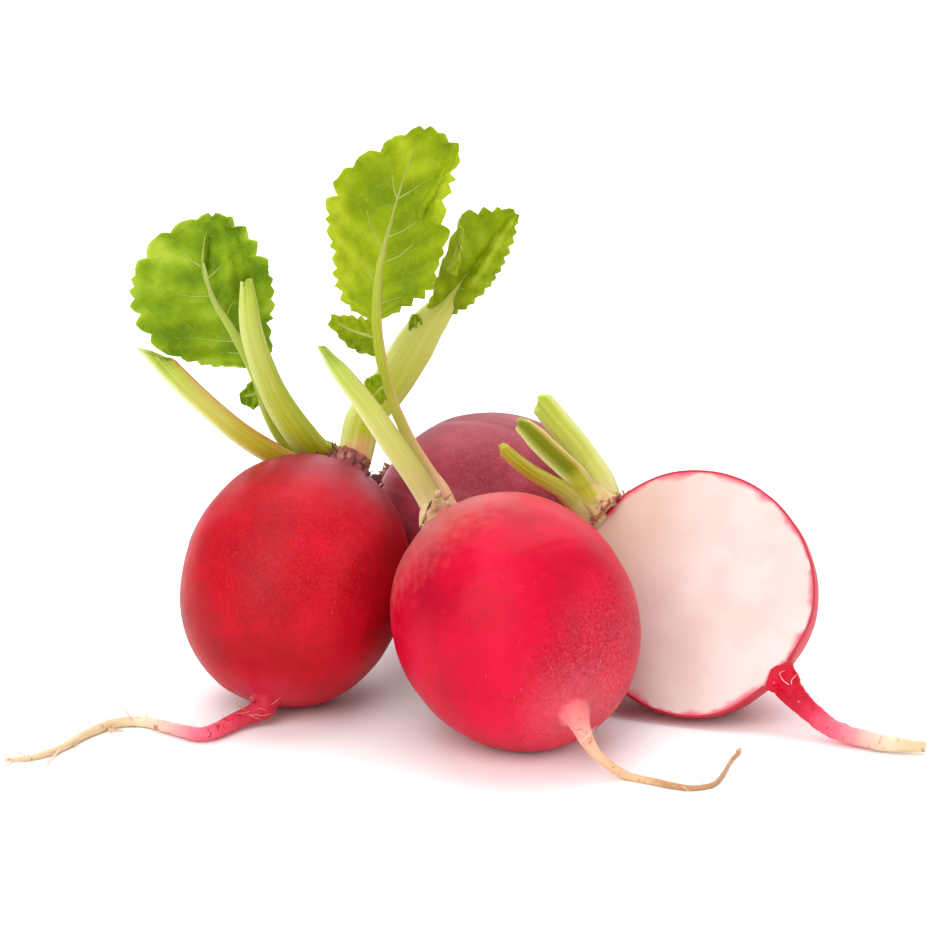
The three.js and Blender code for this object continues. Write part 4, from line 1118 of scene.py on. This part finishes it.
def add_cut_stalk(mesh, layers, stalk, sizes):
    """A cut stalk with a torn tip, sunk in its middle where the stalk is hollow."""
    line = SmoothLine(stalk["points"])
    rings = int(line.length / sizes.stalk_step)
    frames = rings_along(line, [min(i / rings, 1) for i in range(rings + 1 + len(TIP_RINGS))])
    notch_angle, notch_depth = stalk["notch"]

    def closing(row, angle, across):
        near_tip = eased(row, rings - 5 / sizes.stalk_step, rings)
        torn = 0.22 * noise.noise(Vector((2.2 * math.cos(angle), 2.2 * math.sin(angle), line.length)))
        turned = abs(math.atan2(math.sin(angle), math.cos(angle)))
        notched = notch_depth * math.exp(-((turned - notch_angle) / 0.32) ** 2)
        domed = stalk["dome"] * math.cos(angle) ** 2
        ahead = near_tip * (stalk["tip_slant"] * across + torn - notched - domed)
        if row <= rings:
            return 1, ahead
        shrink, sunk = TIP_RINGS[row - rings - 1]
        return shrink, ahead * shrink + sunk * stalk["tip_hollow"]

    section = stalk_section(stalk["widths"], stalk["depth"], stalk["groove"], rings, closing)
    tube(mesh, frames, sizes.stalk_sides, section, layers)


class RadishSizes(bpy.types.PropertyGroup):
    """Fineness and thickness of the pieces that are put over the frame."""

    globe_sides: bpy.props.IntProperty(
        name="Globe Sides", description="Faces round a globe", default=112, min=24, max=256)
    globe_rings: bpy.props.IntProperty(
        name="Globe Rings", description="Rings from crown to foot of a globe", default=84, min=16, max=200)
    taproot_step: bpy.props.FloatProperty(
        name="Taproot Step", description="Millimetres between its rings", default=0.4, min=0.2, max=2)
    stalk_sides: bpy.props.IntProperty(
        name="Stalk Sides", description="Faces round a stalk", default=56, min=12, max=96)
    stalk_step: bpy.props.FloatProperty(
        name="Stalk Step", description="Millimetres between its rings", default=0.3, min=0.2, max=2)
    blade_rows: bpy.props.IntProperty(
        name="Blade Rows", description="Rows of faces up a leaf blade", default=200, min=40, max=300)
    blade_columns: bpy.props.IntProperty(
        name="Blade Columns", description="Faces from midrib to rim of a leaf", default=40, min=10, max=80)
    blade_thickness: bpy.props.FloatProperty(
        name="Blade Thickness", description="Thickness of a leaf blade", default=0.45 * MM,
        subtype="DISTANCE", unit="LENGTH", precision=5)
    hair_width: bpy.props.FloatProperty(
        name="Hair Width", description="Width of a root hair at its base", default=0.2 * MM,
        subtype="DISTANCE", unit="LENGTH", precision=5)


def colour_property(name, description, colour):
    return bpy.props.FloatVectorProperty(
        name=name, description=description, subtype="COLOR", size=4, min=0, max=1, default=linear(colour))


class RadishColours(bpy.types.PropertyGroup):
    """The main colour of each skin, of the flesh, of each blade and of the ground."""

    left_radish: colour_property("Left Skin", "Skin of the left radish", "b00014")
    centre_radish: colour_property("Centre Skin", "Skin of the centre radish", "c6002c")
    back_radish: colour_property("Back Skin", "Skin of the radish behind", "942c3c")
    half_radish: colour_property("Half Skin", "Skin of the cut half", "c00026")
    flesh: colour_property("Flesh", "White flesh of the cut face", "e2cec9")
    left_leaf: colour_property("Left Leaf", "Blade of the left leaf", "7a980c")
    right_leaf: colour_property("Right Leaf", "Blade of the folded leaf on the broad stalk", "869c00")
    centre_leaf: colour_property("Centre Leaf", "Blade of the tallest leaf", "829600")
    paper: colour_property("Paper", "The white ground", "fcfcfc")


class BUNCH_OT_whole_radishes(bpy.types.Operator):
    """Adds the three whole radishes, each from its neck to the tip of its taproot"""

    bl_idname = "bunch.whole_radishes"
    bl_label = "Whole Radishes"

    def execute(self, context):
        sizes, colours = context.scene.radish_sizes, context.scene.radish_colours
        for name, radish, slot, streaks in (
                ("left_radish", LEFT_RADISH, "crimson_skin", 0),
                ("centre_radish", CENTRE_RADISH, "crimson_skin", 0),
                ("back_radish", BACK_RADISH, "mauve_skin", 0.5)):
            mesh, layers = new_mesh("crown", "age", "scuff", "down", "rooted")
            line = radish_line(radish)
            neck, globe, root = ring_distances(radish, line.length, sizes)
            add_body(mesh, layers, radish, line, neck + globe + root, sizes.globe_sides)
            if name == "left_radish":
                self.add_side_crown(mesh, layers[0])
            skin = radish_skin(name, getattr(colours, name), streaks)
            add_piece(context, mesh, name, [skin], slot, name + "_root")
        return {"FINISHED"}

    def add_side_crown(self, mesh, crown):
        """The lump where outer leaves stood, coloured as a neck."""
        made = bmesh.ops.create_icosphere(
            mesh, subdivisions=4, radius=SIDE_CROWN_RADIUS, matrix=Matrix.Translation(SIDE_CROWN_MIDDLE),
            calc_uvs=True)["verts"]
        for vert in made:
            vert.co += (vert.co - SIDE_CROWN_MIDDLE).normalized() * 0.5 * noise.noise(vert.co / 1.3)
            vert[crown] = 1.6


class BUNCH_OT_half_radish(bpy.types.Operator):
    """Adds the halved radish: a cut globe with its white face, a whole neck and a whole taproot"""

    bl_idname = "bunch.half_radish"
    bl_label = "Half Radish"

    def execute(self, context):
        sizes, colours = context.scene.radish_sizes, context.scene.radish_colours
        mesh, layers = new_mesh("crown", "age", "scuff", "down", "rooted", "from_rim")
        line = radish_line(HALF_RADISH)
        neck, globe, root = ring_distances(HALF_RADISH, line.length, sizes)
        foot = root[0]
        add_body(mesh, layers, HALF_RADISH, line, globe + [foot], sizes.globe_sides)
        self.cut(mesh, layers[0], layers[5])
        add_body(mesh, layers, HALF_RADISH, line, neck + [HALF_RADISH["neck_height"]], sizes.globe_sides)
        start = [foot - TAPROOT_NOSE * (1 - i / NOSE_RINGS) for i in range(NOSE_RINGS)]
        add_body(mesh, layers, HALF_RADISH, line, start + root, sizes.globe_sides, TAPROOT_NOSE)
        self.press_flat(mesh, layers[3], foot)
        skin = radish_skin("half_radish", colours.half_radish, 0)
        flesh = radish_flesh("half_radish_flesh", colours.flesh, *FLESH_COLOURS)
        add_piece(context, mesh, "half_radish", [skin, flesh], "cut_radish", "half_radish_root")
        return {"FINISHED"}

    def press_flat(self, mesh, down, foot):
        """Brings the pointed start of the taproot down to the cut face, from which it rises again."""
        point = Vector(HALF_RADISH["centre"]) + CUT_FACE_NORMAL * (CUT_IN_FRONT_OF_AXIS + NOSE_ABOVE_FACE)
        for vert in mesh.verts:
            proud = (vert.co - point).dot(CUT_FACE_NORMAL)
            if proud > 0 and vert[down] > foot / 2:
                vert.co -= CUT_FACE_NORMAL * proud * (1 - eased(vert[down], foot - 0.5, foot + 4))

    def cut(self, mesh, crown, from_rim):
        """Slices the globe and fills the face with rings that know how far they are from the rim."""
        point = Vector(HALF_RADISH["centre"]) + CUT_FACE_NORMAL * CUT_IN_FRONT_OF_AXIS
        bmesh.ops.bisect_plane(
            mesh, geom=mesh.verts[:] + mesh.edges[:] + mesh.faces[:], plane_co=point,
            plane_no=CUT_FACE_NORMAL, clear_outer=True)
        ring = [edge for edge in mesh.edges if edge.is_boundary]
        bmesh.ops.remove_doubles(mesh, verts=self.corners(ring), dist=RIM_MERGE)
        ring = [edge for edge in mesh.edges if edge.is_boundary]
        corners = self.corners(ring)
        middle = sum((vert.co for vert in corners), Vector()) / len(corners)
        crown_end, root_end = (
            Vector(HALF_RADISH["centre"]) + Vector(HALF_RADISH[end]) * HALF_RADISH["globe_length"] / 2
            for end in ("crown_direction", "root_direction"))
        depth = 0
        for step in CUT_RINGS:
            made = bmesh.ops.extrude_edge_only(mesh, edges=ring)["geom"]
            depth += step
            for part in made:
                if isinstance(part, bmesh.types.BMFace):
                    part.material_index = 1
                if isinstance(part, bmesh.types.BMVert):
                    part.co += (middle - part.co).normalized() * step
                    part[from_rim] = depth - 1.6 * math.exp(-((part.co - root_end).length / 2.4) ** 2)
                    part[crown] = 1 - eased((part.co - crown_end).length, 2, 20)
            ring = [part for part in made if isinstance(part, bmesh.types.BMEdge) and part.is_boundary]
        bmesh.ops.pointmerge(mesh, verts=self.corners(ring), merge_co=middle)

    def corners(self, edges):
        """The points of some edges, each once and always in the same order."""
        return list(dict.fromkeys(vert for edge in edges for vert in edge.verts))


class BUNCH_OT_leaves(bpy.types.Operator):
    """Adds the three young leaves, each with its stalk, midrib, blade and small lobes"""

    bl_idname = "bunch.leaves"
    bl_label = "Leaves"

    def execute(self, context):
        sizes, colours = context.scene.radish_sizes, context.scene.radish_colours
        for seed, (name, leaf) in enumerate(
                (("left_leaf", LEFT_LEAF), ("right_leaf", RIGHT_LEAF), ("centre_leaf", CENTRE_LEAF))):
            draw = random.Random(40 + seed)
            mesh, layers = new_mesh("vein_phase", "reach", "tint", "along", "across", "channel")
            for blade in leaf["blades"]:
                add_blade(mesh, layers, blade, sizes, draw)
            line = SmoothLine(leaf["stalk"])
            rings = int(line.length / sizes.stalk_step)
            section = stalk_section(
                leaf["stalk_widths"], leaf["stalk_depth"], 0, rings, lambda row, angle, across: (1, 0))
            frames = rings_along(line, [i / rings for i in range(rings + 1)])
            tube(mesh, frames, sizes.stalk_sides, section, layers[3:], material_index=1)
            blade_material = leaf_blade(
                name.replace("leaf", "blade"), getattr(colours, name), *BLADE_COLOURS[name])
            materials = [blade_material, leaf_stalk(leaf["stalk_material"])]
            add_piece(context, mesh, name + "_dressed", materials, "leaf", name)
        return {"FINISHED"}


class BUNCH_OT_cut_stalks(bpy.types.Operator):
    """Adds the stalks whose leaves were cut off"""

    bl_idname = "bunch.cut_stalks"
    bl_label = "Cut Stalks"

    def execute(self, context):
        for name, stalk in CUT_STALKS.items():
            mesh, layers = new_mesh("along", "across", "channel")
            add_cut_stalk(mesh, layers, stalk, context.scene.radish_sizes)
            add_piece(context, mesh, name + "_dressed", [leaf_stalk(stalk["material"])], "stalk", name)
        return {"FINISHED"}


def add_scales(mesh, layers, radish, scales, draw):
    """Remains of old leaves round a neck, as many thin pointed scales as its entry asks for."""
    count, longest, lowest, highest, darkest, palest = scales
    line = radish_line(radish)
    for i in range(count):
        distance = draw.uniform(lowest, highest)
        ring = rings_along(line, [distance / line.length])[0]
        angle = 2 * math.pi * (i + draw.random()) / count
        out, round_it = out_from(ring, angle), out_from(ring, angle + math.pi / 2)
        base = ring.origin + out * body_radius(radish, distance, line.length)
        reach = draw.uniform(0.5, 1) * longest
        sway = round_it * draw.uniform(-0.5, 0.5)
        places = [
            base + ring.forward * 0.4 - out * 0.3, base - ring.forward * reach * 0.5 + out * 0.15,
            base - ring.forward * reach + out * draw.uniform(-0.2, 0.7) + sway]
        tone = draw.uniform(darkest, palest)
        widths = [0.3 + 0.4 * reach, 0.4 + 0.5 * reach, draw.uniform(0.3, 0.7), 0.1]
        strand(mesh, layers, places, widths, (tone,), flatness=0.3, twist=round_it)


class BUNCH_OT_crowns(bpy.types.Operator):
    """Adds the dry scales and fibres that old leaves left on the four crowns"""

    bl_idname = "bunch.crowns"
    bl_label = "Crowns"

    def execute(self, context):
        draw = random.Random(7)
        mesh, layers = new_mesh("tone")
        for radish, scales in CROWN_SCALES:
            add_scales(mesh, layers, radish, scales, draw)
        for tone, width, places in CROWN_FIBRES:
            strand(mesh, layers, places, [width * 0.6, width, width * 0.7, width * 0.2], (tone,), sides=7)
        add_piece(context, mesh, "crown_scales", [dry_fibre("old_leaf_scales", SCALE_COLOURS, 0.7)], "stalk")
        return {"FINISHED"}


class BUNCH_OT_root_hairs(bpy.types.Operator):
    """Adds the fine rootlets and hairs of the taproots"""

    bl_idname = "bunch.root_hairs"
    bl_label = "Root Hairs"

    def execute(self, context):
        width = context.scene.radish_sizes.hair_width / MM
        mesh, layers = new_mesh("tone")
        for tone, thickness, places in ROOT_HAIRS:
            strand(mesh, layers, places, [width * thickness * share for share in (1, 0.7, 0.25)], (tone,))
        draw = random.Random(11)
        for radish, count in SHORT_HAIRS:
            self.add_short_hairs(mesh, layers, radish, count, width, draw)
        for vert in mesh.verts:
            vert.co.z = max(vert.co.z, 0.05)
        add_piece(context, mesh, "root_hairs", [dry_fibre("root_hair", HAIR_COLOURS, 0.6)], "crimson_skin")
        return {"FINISHED"}

    def add_short_hairs(self, mesh, layers, radish, count, width, draw):
        """Short bent hairs at random along a taproot."""
        line = radish_line(radish)
        for _ in range(count):
            distance = draw.uniform(foot_of(radish) - 0.5, line.length - 1)
            ring = rings_along(line, [distance / line.length])[0]
            out = out_from(ring, draw.uniform(0, 2 * math.pi))
            base = ring.origin + out * root_radius(radish, distance, line.length) * 0.8
            reach = draw.uniform(0.4, 1.3)
            bent = ring.forward * draw.uniform(-0.2, 0.9) * reach
            tip = base + out * reach + bent
            tip.z = max(tip.z, 0.1)
            places = [base, base + out * reach * 0.5 + bent * 0.2, tip]
            tone = draw.uniform(0.3, 1)
            strand(mesh, layers, places, [width * 0.6, width * 0.4, width * 0.2], (tone,), sides=4)


class BUNCH_OT_stage(bpy.types.Operator):
    """Adds the white ground, the studio lights and the camera"""

    bl_idname = "bunch.stage"
    bl_label = "Stage"

    def execute(self, context):
        mesh = bmesh.new()
        bmesh.ops.create_grid(mesh, x_segments=4, y_segments=4, size=2.5)
        paper = white_paper("white_paper", context.scene.radish_colours.paper)
        add_object(context, mesh, "ground", [paper])
        for name, (direction, distance, (width, height), power) in LAMPS.items():
            lamp = bpy.data.lights.new(name, "AREA")
            lamp.shape = "RECTANGLE"
            lamp.size, lamp.size_y, lamp.energy = width, height, power
            light = bpy.data.objects.new(name, lamp)
            towards = Vector(direction).normalized()
            light.location = LIT_MIDDLE + towards * distance
            light.rotation_euler = towards.to_track_quat("Z", "Y").to_euler()
            context.collection.objects.link(light)
        world = bpy.data.worlds.new("studio")
        world.use_nodes = True
        background = world.node_tree.nodes["Background"]
        background.inputs["Color"].default_value = linear("ffffff")
        background.inputs["Strength"].default_value = WORLD_STRENGTH
        context.scene.world = world
        self.add_camera(context)
        context.scene.view_settings.view_transform = "Standard"
        return {"FINISHED"}

    def add_camera(self, context):
        """Looks down on the bunch from the front, as the photograph does."""
        lens = bpy.data.cameras.new("camera")
        lens.sensor_width, lens.lens = SENSOR_WIDTH, LENS_LENGTH
        lens.clip_start, lens.clip_end = CAMERA_RANGE
        camera = bpy.data.objects.new("camera", lens)
        camera.location = FROM_BENCH @ CAMERA_PLACE
        camera.rotation_euler = (math.pi / 2 - CAMERA_TILT, 0, 0)
        context.collection.objects.link(camera)
        context.scene.camera = camera


class BUNCH_PT_panel(bpy.types.Panel):
    """Lists the sizes, the colours and the pieces of the bunch"""

    bl_label = "Bunch of Radishes"
    bl_idname = "BUNCH_PT_panel"
    bl_space_type = "VIEW_3D"
    bl_region_type = "UI"
    bl_category = "Radishes"

    def draw(self, context):
        for group in (context.scene.radish_sizes, context.scene.radish_colours):
            for name in group.__annotations__:
                self.layout.prop(group, name)
        for operator in PIECES:
            self.layout.operator(operator.bl_idname)


PIECES = (
    BUNCH_OT_stage, BUNCH_OT_whole_radishes, BUNCH_OT_half_radish, BUNCH_OT_leaves, BUNCH_OT_cut_stalks,
    BUNCH_OT_crowns, BUNCH_OT_root_hairs,
)
CLASSES = (RadishSizes, RadishColours, *PIECES, BUNCH_PT_panel)


def register():
    for each in CLASSES:
        bpy.utils.register_class(each)
    bpy.types.Scene.radish_sizes = bpy.props.PointerProperty(type=RadishSizes)
    bpy.types.Scene.radish_colours = bpy.props.PointerProperty(type=RadishColours)


def unregister():
    del bpy.types.Scene.radish_colours
    del bpy.types.Scene.radish_sizes
    for each in reversed(CLASSES):
        bpy.utils.unregister_class(each)


def main():
    register()
    bpy.ops.bunch.stage()
    bpy.ops.bunch.whole_radishes()
    bpy.ops.bunch.half_radish()
    bpy.ops.bunch.leaves()
    bpy.ops.bunch.cut_stalks()
    bpy.ops.bunch.crowns()
    bpy.ops.bunch.root_hairs()


if __name__ == "__main__":
    main()
